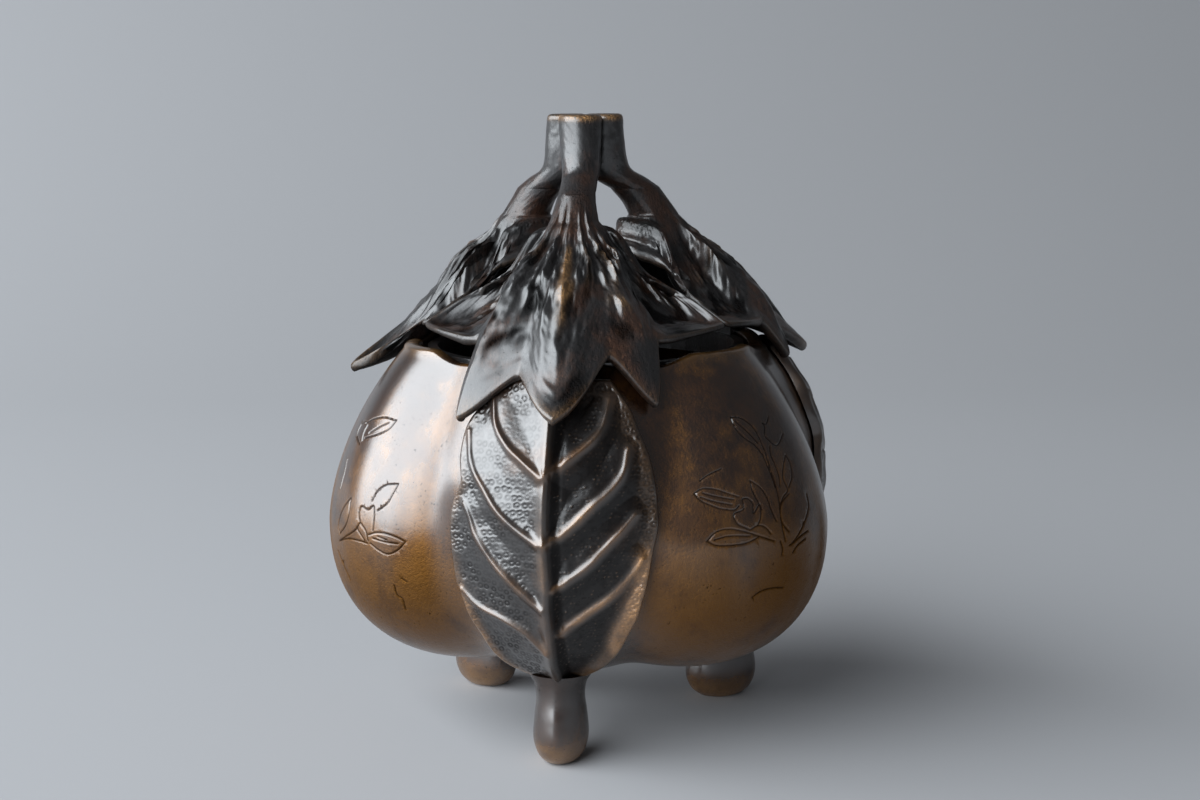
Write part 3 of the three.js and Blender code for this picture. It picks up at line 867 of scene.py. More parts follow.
@dataclass
class Bowl(Piece):
    """The vessel: three fruits grown together, hollow, with incised sprays."""

    columns: int = 216
    outside_rows: int = 86
    inside_rows: int = 40
    rim_rows: int = 7
    rim_drop: float = 1.1
    sprays: tuple[Spray, ...] = (Spray(-60.0, LEFT_SPRAY), Spray(60.0, RIGHT_SPRAY), Spray(180.0, LEFT_SPRAY))
    cut_width: float = 0.42
    cut_depth: float = 0.2
    bands: tuple[float, ...] = (1.7, 1.0, 0.62)

    def build(self) -> Shape:
        """Run up the outside, over the rim and down the inside.

        Returns:
            The closed shape.
        """
        azimuth = np.radians(np.arange(self.columns) * 360.0 / self.columns)
        rim = SKIN.rim_elevation(azimuth)
        top = SKIN.point(azimuth, rim, SKIN.reach(azimuth, rim))
        elevation = self.spaced(SKIN.rim_elevation(azimuth, lower=self.rim_drop), self.outside_rows)
        outside = SKIN.point(azimuth, elevation, SKIN.reach(azimuth, elevation))
        mouth = np.hypot(top[:, 0], top[:, 1]) - SKIN.rim_width
        elevation = self.spaced(np.arctan2(top[:, 2] - self.rim_drop - CORE_Z, mouth), self.inside_rows)
        opening = np.where(elevation > 0.0, mouth / np.cos(elevation), 0.0)
        reach = np.maximum(SKIN.reach(azimuth, elevation, -SKIN.wall), opening)
        inside = SKIN.point(azimuth, elevation, reach)
        outer, inner = outside[-1], inside[-1]
        arc = np.linspace(0.0, math.pi, self.rim_rows + 2)[1:-1, None, None]
        lip = 0.5 * (outer + inner) + 0.5 * (outer - inner) * np.cos(arc)
        lip[..., 2] += (top[:, 2] - 0.5 * (outer + inner)[:, 2])[None, :] * np.sin(arc[..., 0]) ** 0.7
        rings = np.concatenate([outside, lip, inside[::-1]])
        return loft(rings, self.fields(rings))

    def spaced(self, end: np.ndarray, rows: int) -> np.ndarray:
        """Space rows of elevations evenly from straight down to each column's end."""
        share = (np.arange(1, rows + 1) / rows)[:, None]
        return lerp(-0.5 * math.pi, end, share)

    def fields(self, rings: np.ndarray) -> Fields:
        """Give the wear and the tone of the fruits: golden on the belly, darker towards the bottom, with painted
        shade in the valleys beside and under the leaves.

        Args:
            rings: points of the vessel.

        Returns:
            Values by the name of the field.
        """
        azimuth = np.degrees(np.arctan2(rings[..., 1], rings[..., 0]))
        z = rings[..., 2]
        off = np.abs((azimuth + 360.0) % 120.0 - 60.0)
        stain = drift(azimuth, 0.12 * z, size=5.0, seed=3.0) * smooth(25.0, 45.0, z)
        belly = bell(z, 34.0, 17.0) * (1.0 - smooth(24.0, 52.0, off))
        # Golden belly, random stains, darker towards the bottom, and painted shade in the valleys beside the
        # leaves
        tone = 0.75 * belly - 0.2 * smooth(22.0, 14.0, z) + 0.3 * stain - 0.35 * smooth(36.0, 55.0, off)
        worn = 0.4 * bell(z, SKIN.rim_z, 1.2) + 0.12 * belly
        # Painted shade under the leaves
        return {"tone": tone, "worn": worn, "recess_and_shade": 0.55 * bell(off, 60.0, 4.0)}

    def refine(self, mesh: bmesh.types.BMesh) -> None:
        """Split the faces near the sprays and cut the sprays in.

        Args:
            mesh: the mesh, in millimetres.
        """
        route = np.vstack([spray.route() for spray in self.sprays])
        tree = KDTree(len(route))
        for number, point in enumerate(route):
            tree.insert(Vector(point), number)
        tree.balance()
        for band in self.bands:
            near = [vert for vert in mesh.verts if tree.find(vert.co)[2] < band]
            marked = set(near)
            edges = [edge for edge in mesh.edges if edge.verts[0] in marked and edge.verts[1] in marked]
            bmesh.ops.subdivide_edges(mesh, edges=edges, cuts=1, use_grid_fill=True)
            bmesh.ops.triangulate(mesh, faces=[face for face in mesh.faces if len(face.verts) > 4])
        layers = {name: mesh.verts.layers.float[name] for name in ("worn", "recess_and_shade")}
        touched = [vert for vert in mesh.verts if tree.find(vert.co)[2] < self.bands[0] + 1.0]
        points = np.array([vert.co for vert in touched])
        azimuth, elevation, distance = SKIN.directions(points)
        reach = SKIN.reach(azimuth, elevation)
        outer = np.abs(distance - reach) < 0.6
        skin = SKIN.point(azimuth, elevation, reach)
        gap = np.array([tree.find(Vector(point))[2] for point in skin])
        cut = ridge(gap, 0.5 * self.cut_width, power=2.0)
        burr = ridge(gap - 0.75 * self.cut_width, 0.3 * self.cut_width, power=2.0)
        placed = SKIN.point(azimuth, elevation, reach + self.cut_depth * (0.1 * burr - cut))
        for vert, place, on_skin, dark, bright in zip(touched, placed, outer, cut, burr):
            if on_skin:
                vert.co = place
                vert[layers["recess_and_shade"]] = max(vert[layers["recess_and_shade"]], dark)
                vert[layers["worn"]] = max(vert[layers["worn"]], 0.12 * bright)


@dataclass
class Leaf(Piece):
    """A leaf bent round its lobe, folded along its midrib, with raised veins and a punched ground."""

    slot: ClassVar[Slot] = Slot.LEAF
    finish: ClassVar[Patina] = LEAF_PATINA
    mirrored: bool = False
    columns: int = 172
    rows: int = 344
    back_columns: int = 24
    bottom: float = 18.3
    top: float = 77.0
    thickness: float = 1.3
    jitter: float = 0.4
    mark_width: float = 0.26
    outline: tuple[tuple[float, float, float], ...] = (
        (18.3, -6.2, 6.7), (20.4, -8.2, 9.6), (23.0, -10.4, 12.4), (26.6, -12.8, 14.8), (31.8, -14.8, 17.2),
        (38.0, -16.8, 19.2), (44.1, -17.5, 20.4), (49.6, -17.8, 21.4), (54.5, -17.0, 21.3),
        (58.5, -15.2, 20.8), (63.5, -15.7, 19.6), (68.2, -14.7, 17.6), (72.6, -11.9, 15.4), (77.0, -9.0, 11.6),
    )
    midrib: Line = ((2.0, 77.0), (1.8, 71.0), (1.6, 59.7), (1.4, 48.7), (1.5, 37.1), (1.0, 26.0), (0.4, 18.6))
    veins: tuple[Line, ...] = (
        ((0.6, 59.6), (-2.7, 62.4), (-5.6, 65.0), (-8.1, 68.6), (-9.4, 73.4)),
        ((0.4, 47.9), (-4.1, 50.8), (-7.5, 53.9), (-10.4, 58.3), (-12.5, 62.3), (-13.2, 67.4)),
        ((0.6, 35.8), (-4.5, 40.0), (-8.2, 43.6), (-11.3, 48.6), (-12.9, 52.1), (-14.0, 54.4)),
        ((0.3, 27.0), (-3.0, 30.5), (-7.1, 32.7), (-11.9, 34.5), (-15.1, 37.3)),
        ((1.9, 60.2), (6.1, 63.2), (9.0, 65.9), (10.9, 68.8), (11.7, 73.4)),
        ((1.9, 47.9), (6.3, 51.0), (9.8, 54.6), (13.2, 57.7), (15.1, 60.7), (15.6, 65.0)),
        ((3.0, 39.3), (4.6, 40.5), (8.2, 43.0), (11.8, 46.3), (14.9, 49.8), (17.2, 52.8)),
        ((3.4, 30.1), (5.0, 31.5), (9.2, 34.5), (13.5, 37.9), (16.4, 41.2), (18.2, 44.0)),
    )

    def half_widths(self, z: np.ndarray) -> tuple[np.ndarray, np.ndarray]:
        """Give the sideways places of the left and the right margin at heights."""
        curve = flowing(np.array(self.outline), 30)
        return np.interp(z, curve[:, 0], curve[:, 1]), np.interp(z, curve[:, 0], curve[:, 2])

    def vein_relief(self, side: np.ndarray, z: np.ndarray) -> tuple[np.ndarray, np.ndarray]:
        """Work out the side veins, which thin out towards their tips.

        Args:
            side: sideways places.
            z: heights.

        Returns:
            Shares of a vein's height, and distances from the nearest vein.
        """
        relief = np.zeros(side.shape)
        nearest = np.full(side.shape, np.inf)
        for line in self.veins:
            gap, share = line_distance(side, z, flowing(np.array(line), 8))
            width = lerp(1.25, 0.65, share) + 0.12 * drift(z, side, size=2.0, seed=15.0)
            relief = np.maximum(relief, ridge(gap, width, power=2.0) * lerp(1.0, 0.5, share ** 1.5))
            nearest = np.minimum(nearest, gap)
        return relief, nearest

    def relief(self, side: np.ndarray, z: np.ndarray, margin: np.ndarray) -> tuple[np.ndarray, Fields]:
        """Work out the relief of the upper face.

        Args:
            side: sideways places.
            z: heights.
            margin: distances to the nearer margin.

        Returns:
            Heights above the blade's underside, and the fields.
        """
        flow = side + 0.3 * drift(z, side, size=6.0, seed=5.0)
        middle = np.array(self.midrib)[::-1]
        aside = flow - np.interp(z, middle[:, 1], middle[:, 0])
        right = smooth(-0.4, 0.6, aside)
        rib = lerp(ridge(aside, 1.7, power=1.7), ridge(aside, 1.1, power=3.4), right)
        groove = ridge(aside - 2.3, 1.2, power=2.0)
        fold = np.exp(-np.abs(aside) / lerp(9.0, 4.0, right))
        fold = fold * (0.3 + 0.7 * smooth(17.0, 27.0, z) * smooth(72.0, 62.0, z))
        vein, gap = self.vein_relief(flow, z)
        away = np.minimum(np.minimum(np.abs(aside), gap), margin)
        cupped = smooth(0.4, 4.6, away) * lerp(0.65, 1.0, right)
        curl = bell(margin, 0.0, 2.2) * (0.6 + 0.9 * drift(z, side * 0.3, size=4.6, seed=8.0))
        ground = smooth(0.9, 1.6, np.abs(aside)) * smooth(0.7, 1.2, gap) * smooth(0.5, 1.1, margin)
        rings, beads = self.marks(side, z, margin, right)
        rings, beads = rings * ground, beads * ground
        pits = smooth(0.0, 0.8, drift(side, z, size=0.62, seed=2.0)) * ground
        height = self.thickness + 0.95 * rib + 1.3 * fold + lerp(0.85, 0.62, right) * vein
        height += 0.6 * curl - 0.8 * cupped - 0.45 * groove + 0.14 * drift(side, z, size=3.2, seed=4.0)
        height += 0.24 * beads - 0.15 * rings - 0.02 * pits
        round_edge = np.sqrt(1.0 - (1.0 - np.clip(margin / 1.1, 0.0, 1.0)) ** 2)
        patch = smooth(-0.25, 0.6, drift(side, z, size=7.0, seed=6.0))
        edge = ridge(margin - lerp(0.8, 1.4, right), lerp(1.7, 3.2, right), power=2.0)
        edge = edge * (0.2 + 0.8 * patch) * (0.35 + 0.5 * smooth(46.0, 36.0, z) + 0.8 * right)
        worn = rib * (0.1 + 0.25 * patch) + vein * (0.15 + 0.5 * patch) * lerp(0.3, 1.6, right)
        worn = np.clip(worn + edge + 0.8 * beads, 0.0, 1.0)
        # Dark patina in the punched rings and pits, and painted shade over the leaf's right half away from its
        # veins
        recess_and_shade = 0.85 * rings + 0.08 * pits + 0.8 * right * smooth(0.3, 1.6, away)
        # A painted shadow along the right side of the midrib
        recess_and_shade = np.clip(recess_and_shade + ridge(aside - 1.9, 0.9, power=2.0), 0.0, 1.0) * (1.0 - worn)
        # Warmer on the veins and edges, with painted shade in the hollows between the veins
        tone = 0.5 * (edge + vein) - 0.5 * cupped
        return height * round_edge, {"worn": worn, "recess_and_shade": recess_and_shade, "tone": tone}

    def marks(self, side: np.ndarray, z: np.ndarray, margin: np.ndarray,
              right: np.ndarray) -> tuple[np.ndarray, np.ndarray]:
        """Spread punched rings over the left half and the margins, and raised beads over the rest.

        Args:
            side: sideways places.
            z: heights.
            margin: distances to the nearer margin.
            right: shares of the right half.

        Returns:
            Depths of the rings and heights of the beads, from 0 to 1.
        """
        punched = (1.0 - right) * (0.35 + 0.65 * smooth(66.0, 58.0, z)) + 0.9 * smooth(4.5, 2.0, margin)
        punched = np.clip(punched, 0.0, 1.0)
        faint = 0.35 + 0.65 * smooth(-0.5, 0.4, drift(side, z, size=3.4, seed=9.0))
        rings = self.punches(side, z, spacing=1.35, radius=0.4) * punched * faint
        beads = self.punches(side + 40.0, z, spacing=0.78, radius=0.0) ** 2
        beads = beads * np.clip(right * 0.8 + smooth(44.0, 30.0, z), 0.0, 1.0) * (1.0 - 0.6 * punched)
        return rings, beads * smooth(-0.1, 0.5, drift(side, z, size=0.8, seed=12.0))

    def punches(self, side: np.ndarray, z: np.ndarray, spacing: float, radius: float) -> np.ndarray:
        """Work out punch marks in a loose pattern: rings, or dots where the radius is nothing.

        Args:
            side: sideways places.
            z: heights.
            spacing: distance between marks.
            radius: radius of a mark.

        Returns:
            Depths from 0 to 1.
        """
        depth = np.zeros(side.shape)
        row = np.floor(z / spacing)
        for row_step in (-1, 0, 1):
            line = row + row_step
            shift = 0.5 * (line % 2)
            column = np.floor(side / spacing - shift)
            for column_step in (-1, 0, 1):
                cell = column + column_step
                x = (cell + 0.5 + shift + self.jitter * (hashed(cell, line, 1.0) - 0.5)) * spacing
                y = (line + 0.5 + self.jitter * (hashed(cell, line, 2.0) - 0.5)) * spacing
                mark = ridge(np.hypot(side - x, z - y) - radius, self.mark_width, power=2.0)
                depth = np.maximum(depth, mark * (0.5 + 0.5 * hashed(cell, line, 3.0)))
        return depth

    def azimuths(self, side: np.ndarray, elevation: np.ndarray) -> np.ndarray:
        """Find the directions in which the skin lies at sideways places.

        Args:
            side: sideways places, one row for each elevation.
            elevation: elevations.

        Returns:
            Azimuths in radians.
        """
        trial = np.linspace(-0.9, 0.9, 91)
        reach = SKIN.reach(trial[None, :], elevation[:, None], 1.0)
        reached = reach * np.cos(elevation)[:, None] * np.sin(trial)[None, :]
        return np.array([np.interp(row, known, trial) for row, known in zip(side, reached)])

    def build(self) -> Shape:
        """Lay the relief on the skin and close the leaf behind it.

        Returns:
            The closed shape.
        """
        z = np.linspace(self.bottom, self.top, self.rows)
        left, right = (edge[:, None] for edge in self.half_widths(z))
        across = np.linspace(-1.0, 1.0, self.columns)
        across = 0.76 * across + 0.24 * np.sin(0.5 * math.pi * across)
        drawn = lerp(left, right, 0.5 + 0.5 * across[None, :])
        margin = np.minimum(np.minimum(drawn - left, right - drawn), (self.top - z)[:, None] * 0.8)
        height, fields = self.relief(drawn, np.broadcast_to(z[:, None], drawn.shape), margin)
        back = lerp(right, left, np.linspace(0.0, 1.0, self.back_columns + 2)[None, 1:-1])
        side = np.concatenate([drawn, back], axis=1)
        elevation = SKIN.elevation_at(np.zeros(self.rows), z, 1.0)
        azimuth = self.azimuths(-side if self.mirrored else side, elevation)
        reach = SKIN.reach(azimuth, elevation[:, None]) + TOUCH_GAP
        reach[:, :self.columns] += np.maximum(height, 0.02)
        rings = SKIN.point(azimuth, elevation[:, None], reach)
        count = rings.shape[1]
        shape = Shape(rings.reshape(-1, 3), grid_faces(self.rows, count, True))
        for name, value in fields.items():
            shape.fields[name] = np.pad(value, ((0, 0), (0, self.back_columns))).ravel()
        shape.faces.append(tuple(range(count))[::-1])
        shape.faces.append(tuple(range((self.rows - 1) * count, self.rows * count)))
        return shape


@dataclass
class Foot(Piece):
    """A foot: a waisted pad with a flat underside that flares up to the tip of its leaf."""

    finish: ClassVar[Patina] = FOOT_PATINA
    sides: int = 96
    distance: float = 30.0
    half_radial: float = 7.8
    half_tangent: float = 5.3
    height: float = 18.1
    stations: tuple[tuple[float, float, float], ...] = (
        (0.0, 0.46, 0.5), (0.03, 0.66, 0.68), (0.12, 0.88, 0.88), (0.28, 1.0, 1.0),
        (0.5, 0.95, 0.95), (0.7, 0.87, 0.88), (0.86, 0.83, 0.95), (0.94, 0.83, 1.1), (1.0, 0.84, 1.24),
    )

    def build(self) -> Shape:
        """Stack the foot's rings and keep them off the vessel's skin.

        Returns:
            The closed shape.
        """
        rise, radial, tangent = flowing(np.array(self.stations), 9).T[..., None]
        angle = np.linspace(0.0, math.tau, self.sides, endpoint=False)[None, :]
        round_x, round_y = 6.0 * np.cos(angle) + 9.0, 18.0 * rise + 6.0 * np.sin(angle) + 9.0
        uneven = 1.0 + 0.012 * drift(round_x, round_y, size=3.0, seed=7.0)
        x = self.distance + self.half_radial * radial * np.cos(angle) * uneven
        y = self.half_tangent * tangent * np.sin(angle) * uneven
        z = np.maximum(rise, 0.0) * self.height + np.zeros(x.shape)
        rings = np.stack([x, y, z], axis=-1)
        caps = [lerp(rings[-1].mean(axis=0), rings[-1], share) for share in (0.8, 0.55, 0.3)]
        rings = np.concatenate([rings, np.array(caps)])
        azimuth, elevation, distance = SKIN.directions(rings)
        clear = SKIN.reach(azimuth, elevation) + TOUCH_GAP
        rings = SKIN.point(azimuth, elevation, np.maximum(distance, clear))
        high = rings[..., 2]
        return loft(rings, {
            "worn": 0.7 * smooth(6.0, 0.5, high),
            # Darker towards the top, where the foot meets its leaf
            "recess_and_shade": 0.35 * smooth(12.5, 16.0, high),
            "tone": 0.8 * smooth(9.0, 2.0, high) - 0.3,
        })


@dataclass(frozen=True)
class CalyxEdge:
    """Edge of a calyx: stations of angle from outward, reach, height and form.

    The form runs from -1, a domed flank, through 0, a sloping sepal, to 1, a web that falls early.
    The web's angles are counted from the outermost sepals.
    """

    sepals: tuple[Station, ...]
    web: ClassVar[tuple[Station, ...]] = ((14.0, 20.5, 83.2, -0.4), (23.0, 21.8, 83.6, 0.7))
    flank: ClassVar[tuple[Station, ...]] = (
        (94.0, 29.0, 84.6, 1.0), (105.0, 23.0, 89.0, 0.7), (114.0, 16.4, 92.8, 0.0),
        (125.0, 15.0, 94.8, -0.6), (140.0, 14.0, 95.8, -0.8), (157.0, 13.8, 97.0, -0.8), (180.0, 15.0, 98.7, -0.6),
    )

    def stations(self) -> np.ndarray:
        """Put the sepals between their two flanks.

        Returns:
            Stations in order of their angle from -180 to 180 degrees.
        """
        def side(tip: float) -> list[Station]:
            """Give the web and the flank next to the outermost sepal of one side."""
            return [*((abs(tip) + row[0], *row[1:]) for row in self.web), *self.flank]

        before = [(-row[0], *row[1:]) for row in side(self.sepals[0][0])][::-1]
        return np.array([*before, *self.sepals, *side(self.sepals[-1][0])])

    def at(self, angle: np.ndarray) -> tuple[np.ndarray, np.ndarray, np.ndarray]:
        """Give the edge at angles, eased between its stations and kept inside the calyx's own third.

        Args:
            angle: angles from outward, in degrees.

        Returns:
            Reach, height and form.
        """
        rows = self.stations()
        upper = np.clip(np.searchsorted(rows[:, 0], angle), 1, len(rows) - 1)
        start, end = rows[upper - 1], rows[upper]
        share = (angle - start[:, 0]) / (end[:, 0] - start[:, 0])
        share = lerp(share, 0.5 - 0.5 * np.cos(math.pi * share), 0.4)[:, None]
        reach, low, form = lerp(start, end, share).T[1:]
        turn = np.radians(np.abs(angle))
        leaning = np.sin(turn) - THIRD_SLOPE * np.cos(turn)
        limit = (THIRD_SLOPE * Calyx.centre - 2.0 * TOUCH_GAP - 0.5) / np.maximum(leaning, 1e-3)
        return np.where(leaning > 0.0, np.minimum(reach, limit), reach), low, form


@dataclass
class Calyx(Piece):
    """A calyx: a ribbed cap of sepals, hollow underneath, with a solid neck on top."""

    body: ClassVar[Body] = Body.LID
    slot: ClassVar[Slot] = Slot.LID
    finish: ClassVar[Patina] = LID_PATINA
    centre: ClassVar[float] = 20.0
    edge: CalyxEdge = field(kw_only=True)
    seed: float = field(kw_only=True)
    depth: float = field(kw_only=True)
    columns: int = 480
    rows: int = 96
    lip_rows: int = 7
    sepal_edge: float = 2.2
    web_edge: float = 1.1
    wall: float = 1.9
    neck: tuple[Station, ...] = (
        (109.14, 11.3, 5.35, 3.72), (106.2, 13.7, 5.0, 4.3), (103.5, 15.4, 5.1, 5.0),
    )
    under: tuple[float, ...] = (0.985, 0.95, 0.9, 0.8, 0.68, 0.55, 0.42, 0.3, 0.2)

    def skin(self, angle: np.ndarray, share: np.ndarray) -> np.ndarray:
        """Place points of the smooth outer skin.

        Args:
            angle: angles from outward, in degrees, one for each column.
            share: places from the neck to the edge, one for each row.

        Returns:
            Points, one row for each share.
        """
        reach, low, form = self.edge.at(angle)
        neck_z, neck_distance, neck_radial, neck_tangent = self.neck[-1]
        cos, sin = np.cos(np.radians(angle)), np.sin(np.radians(angle))
        u = np.asarray(share)[:, None]
        sloping = u - 0.09 * np.sin(math.pi * np.clip((u - 0.15) / 0.55, 0.0, 1.0)) ** 2
        domed = 0.63 * u + 0.37 * u ** 5
        webbed = 1.0 - (1.0 - u) ** 2.4
        drop = lerp(sloping, np.where(form < 0.0, domed, webbed), np.abs(form))
        return np.stack([
            lerp(neck_distance + neck_radial * cos, self.centre + reach * cos, u),
            lerp(neck_tangent * sin, reach * sin, u),
            lerp(neck_z, low, drop),
        ], axis=-1)

    def relief(self, angle: np.ndarray, share: np.ndarray) -> tuple[np.ndarray, np.ndarray, np.ndarray]:
        """Work out the ribs that run down from the neck, and the lumps of the casting.

        Args:
            angle: angles from outward, in degrees, one for each column.
            share: places from the neck to the edge, one for each row.

        Returns:
            Heights in millimetres, how far each place is up its rib from 0 to 1, and how deep in a wrinkle.
        """
        turn, u = angle[None, :], share[:, None]
        far, down = turn * 0.33 + 60.0 * self.seed + 200.0, u * 34.0 + np.zeros(turn.shape)
        bent = turn + 3.0 * drift(far, down * 0.0, size=5.5, seed=11.0)
        bent = bent + 2.0 * drift(far, down, size=6.0, seed=12.0)
        outer = smooth(114.0, 92.0, np.abs(turn))
        broad, knots = self.rib_set(bent, u, count=18.0)
        fine, grains = self.rib_set(bent + 7.0, u, count=36.0)
        knobby = 0.7 + 0.5 * drift(far * 1.3, down, size=2.4, seed=13.0)
        ribs = lerp(broad, 0.55 * broad + 0.6 * fine, smooth(0.16, 0.36, u)) * knobby
        ribs = ribs * lerp(0.45, 1.0, smooth(0.0, 0.1, u))
        ribs = ribs * lerp(0.05, 1.0, outer) * lerp(0.3, 1.0, smooth(70.0, 44.0, np.abs(turn)))
        beads = (knots + 0.7 * grains) * outer
        lumps = 0.36 * drift(far, down, size=4.6, seed=17.0) + 0.15 * drift(far, down, size=2.2, seed=18.0)
        lumps += 0.2 * drift(far, down * 0.3, size=0.85, seed=23.0) * smooth(0.95, 0.6, u)
        lumps += 0.07 * drift(far, down, size=0.9, seed=22.0)
        lumps *= smooth(0.02, 0.2, u) * lerp(0.3, 1.0, outer)
        height = self.depth * (ribs + 0.4 * beads) + self.swelling(angle, share) + lumps
        height -= 0.45 * smooth(0.0, 0.12, u) + 0.1
        return height, np.clip(ribs + 0.8 * beads, 0.0, 1.0), smooth(0.02, -0.3, lumps)

    def rib_set(self, bent: np.ndarray, u: np.ndarray, count: float) -> tuple[np.ndarray, np.ndarray]:
        """Work out a set of ribs, each with its own height and length, that end in knobs.

        Args:
            bent: bent angles in degrees.
            u: places from the neck to the edge.
            count: number of ribs around the calyx.

        Returns:
            Heights of the ribs and of their knobs from 0 to 1.
        """
        number = np.round(bent * count / 360.0)
        tall = 0.55 + 0.45 * hashed(number, count, 31.0 + self.seed)
        length = 0.34 + 0.3 * hashed(number, count, 37.0 + self.seed)
        length = length + 0.05 * drift(bent, u * 9.0, size=3.0, seed=41.0)
        crest = (0.5 + 0.5 * np.cos(np.radians(count * bent))) ** 1.9 * tall
        knots = bell(u, length, 0.035) + 0.7 * bell(u, length - 0.11, 0.03)
        return crest * smooth(0.18, -0.02, u - length), crest * knots

    def swelling(self, angle: np.ndarray, share: np.ndarray) -> np.ndarray:
        """Work out the pillow of the middle sepal, the keels of the side ones and the dome of the inner half.

        Args:
            angle: angles from outward, in degrees, one for each column.
            share: places from the neck to the edge, one for each row.

        Returns:
            Heights in millimetres.
        """
        turn, u = np.abs(angle)[None, :], share[:, None]
        middle = bell(angle, 1.0, 17.0)
        long = np.clip((self.edge.at(angle)[0] - 22.0) / 6.0, 0.0, 1.0)
        sides = long * smooth(84.0, 66.0, turn) * (1.0 - middle)
        pillow = 1.2 * middle * np.sin(math.pi * smooth(0.36, 1.0, u)) - 0.5 * sides * smooth(0.5, 0.85, u)
        dome = 1.4 * bell(u, 0.34, 0.26) - 0.6 * bell(u, 0.78, 0.1) + 0.3 * smooth(0.84, 0.94, u)
        keels = 0.45 * bell(turn, 40.0, 7.0) * smooth(0.45, 0.85, u)
        return pillow + (1.0 - smooth(114.0, 92.0, turn)) * dome + keels

    def normals(self, angle: np.ndarray, share: np.ndarray) -> np.ndarray:
        """Give directions square to the smooth skin, pointing out.

        Args:
            angle: angles from outward, in degrees.
            share: places from the neck to the edge.

        Returns:
            Unit directions.
        """
        step, swing = 0.02, 1.5
        down, up = np.minimum(share + step, 1.0), np.maximum(share - step, 0.0)
        after, before = np.minimum(angle + swing, 180.0), np.maximum(angle - swing, -180.0)
        along = self.skin(angle, down) - self.skin(angle, up)
        around = self.skin(after, share) - self.skin(before, share)
        square = np.cross(along, around)
        return square / np.linalg.norm(square, axis=-1, keepdims=True)

    @property
    def marked(self) -> bool:
        """Tell whether this is the front calyx, whose worn strip and spot the photograph shows."""
        return self.turn == 0.0

    def thickness(self, angle: np.ndarray) -> np.ndarray:
        """Give the edge's thickness: thin in the webs, thick in the sepals and round the vents.

        Args:
            angle: angles from outward, in degrees.

        Returns:
            Thicknesses in millimetres.
        """
        turn = np.abs(angle)
        web = smooth(self.edge.sepals[-1][0] + 10.0, 84.0, turn) * smooth(112.0, 104.0, turn)
        return lerp(self.sepal_edge, self.web_edge, web)

    def build(self) -> Shape:
        """Run down the neck and the outer skin, round the edge and up underneath.

        Returns:
            The closed shape.
        """
        angle = np.arange(self.columns) * 360.0 / self.columns - 180.0
        share = np.linspace(0.0, 1.0, self.rows) ** 0.92
        height, crest, wrinkle = self.relief(angle, share)
        normal = self.normals(angle, share)
        edge_fade = lerp(1.0, 0.25, smooth(0.9, 1.0, share))[:, None]
        outer = self.skin(angle, share) + normal * (height * edge_fade)[..., None]
        rows = flowing(np.array(self.neck), 8)[:-1]
        neck = stem_rings(rows, angle, self.turn)
        neck += normal[0] * (height[0] * smooth(108.5, 103.5, rows[:, :1]) ** 1.5)[..., None]
        thick = self.thickness(angle)[:, None]
        arc = np.linspace(0.0, math.pi, self.lip_rows + 2)[1:-1, None, None]
        outward = np.subtract(*self.skin(angle, np.array([1.0, 0.97])))
        outward /= np.linalg.norm(outward, axis=-1, keepdims=True)
        lip = outer[-1] - normal[-1] * (0.5 * thick * (1.0 - np.cos(arc))) + outward * (0.42 * thick * np.sin(arc))
        below = np.array(self.under)
        depth = lerp(thick[None], self.wall, smooth(1.0, 0.8, below)[:, None, None])
        under = self.skin(angle, below) - self.normals(angle, below) * depth
        rings = keep_in_third(np.concatenate([neck, outer, lip, under]))
        fields = self.fields(angle, share, crest, wrinkle, len(neck), len(lip) + len(under))
        return loft(rings[::-1], {name: value[::-1] for name, value in fields.items()})

    def fields(self, angle: np.ndarray, share: np.ndarray, crest: np.ndarray, wrinkle: np.ndarray,
               above: int, below: int) -> Fields:
        """Give the wear of the ribs and the edge, the darkening between the ribs and in the wrinkles, and painted
        shade on the lip and underneath.

        Args:
            angle: angles from outward, in degrees.
            share: places from the neck to the edge.
            crest: how far each place is up its rib.
            wrinkle: how deep each place is in a wrinkle.
            above: rows of the neck.
            below: rows of the lip and the underside.

        Returns:
            Values by the name of the field.
        """
        turn = np.abs(angle)[None, :]
        u = share[:, None] + np.zeros((1, self.columns))
        far = angle[None, :] * 0.3 + 60.0 * self.seed + 200.0
        patch = smooth(-0.15, 0.75, drift(far, u * 36.0, size=6.5, seed=31.0))
        reach = self.edge.at(angle)[0][None, :]
        tip = smooth(26.5, 30.0, reach) * smooth(0.94, 1.0, u) * smooth(90.0, 70.0, turn) * (0.3 + 0.7 * patch)
        worn = 0.5 * crest ** 1.6 * patch + 0.75 * tip + 0.08 * smooth(0.97, 1.0, u)
        if self.marked:
            worn += bell(angle, 3.0, 4.0) * bell(u, 0.44, 0.045)
            worn += bell(angle, 1.0, 3.2) * smooth(0.1, 0.16, u) * smooth(0.55, 0.42, u)
        worn = np.clip(worn, 0.0, 1.0)
        valley = 0.5 * smooth(0.35, 0.0, crest) * smooth(0.05, 0.2, u) * smooth(0.75, 0.4, u)
        recess_and_shade = np.maximum(valley, 0.85 * wrinkle)
        top = np.zeros((above, self.columns))
        bottom = np.zeros((below, self.columns))
        bottom[:self.lip_rows] = worn[-1] * np.linspace(1.0, 0.2, self.lip_rows)[:, None]
        # Painted shade: the underside is darkened all over, and the lip darkens as it turns under, more on the
        # side sepals than on the middle one
        dark = np.full((below, self.columns), 0.7)
        dark[:self.lip_rows] = np.linspace(0.1, 0.9, self.lip_rows)[:, None]
        dark[:self.lip_rows] *= lerp(0.6, 1.0, smooth(16.0, 24.0, turn))
        joined = smooth(0.0, 0.12, u)
        tone = lerp(0.3, 0.35 * patch - 0.4 * crest - 0.05, joined)
        return {
            "worn": np.concatenate([top, worn, bottom]),
            "recess_and_shade": np.concatenate([top + 0.25, lerp(0.25, recess_and_shade, joined), dark]),
            "tone": np.concatenate([top + 0.3, tone, 0.0 * bottom]),
        }


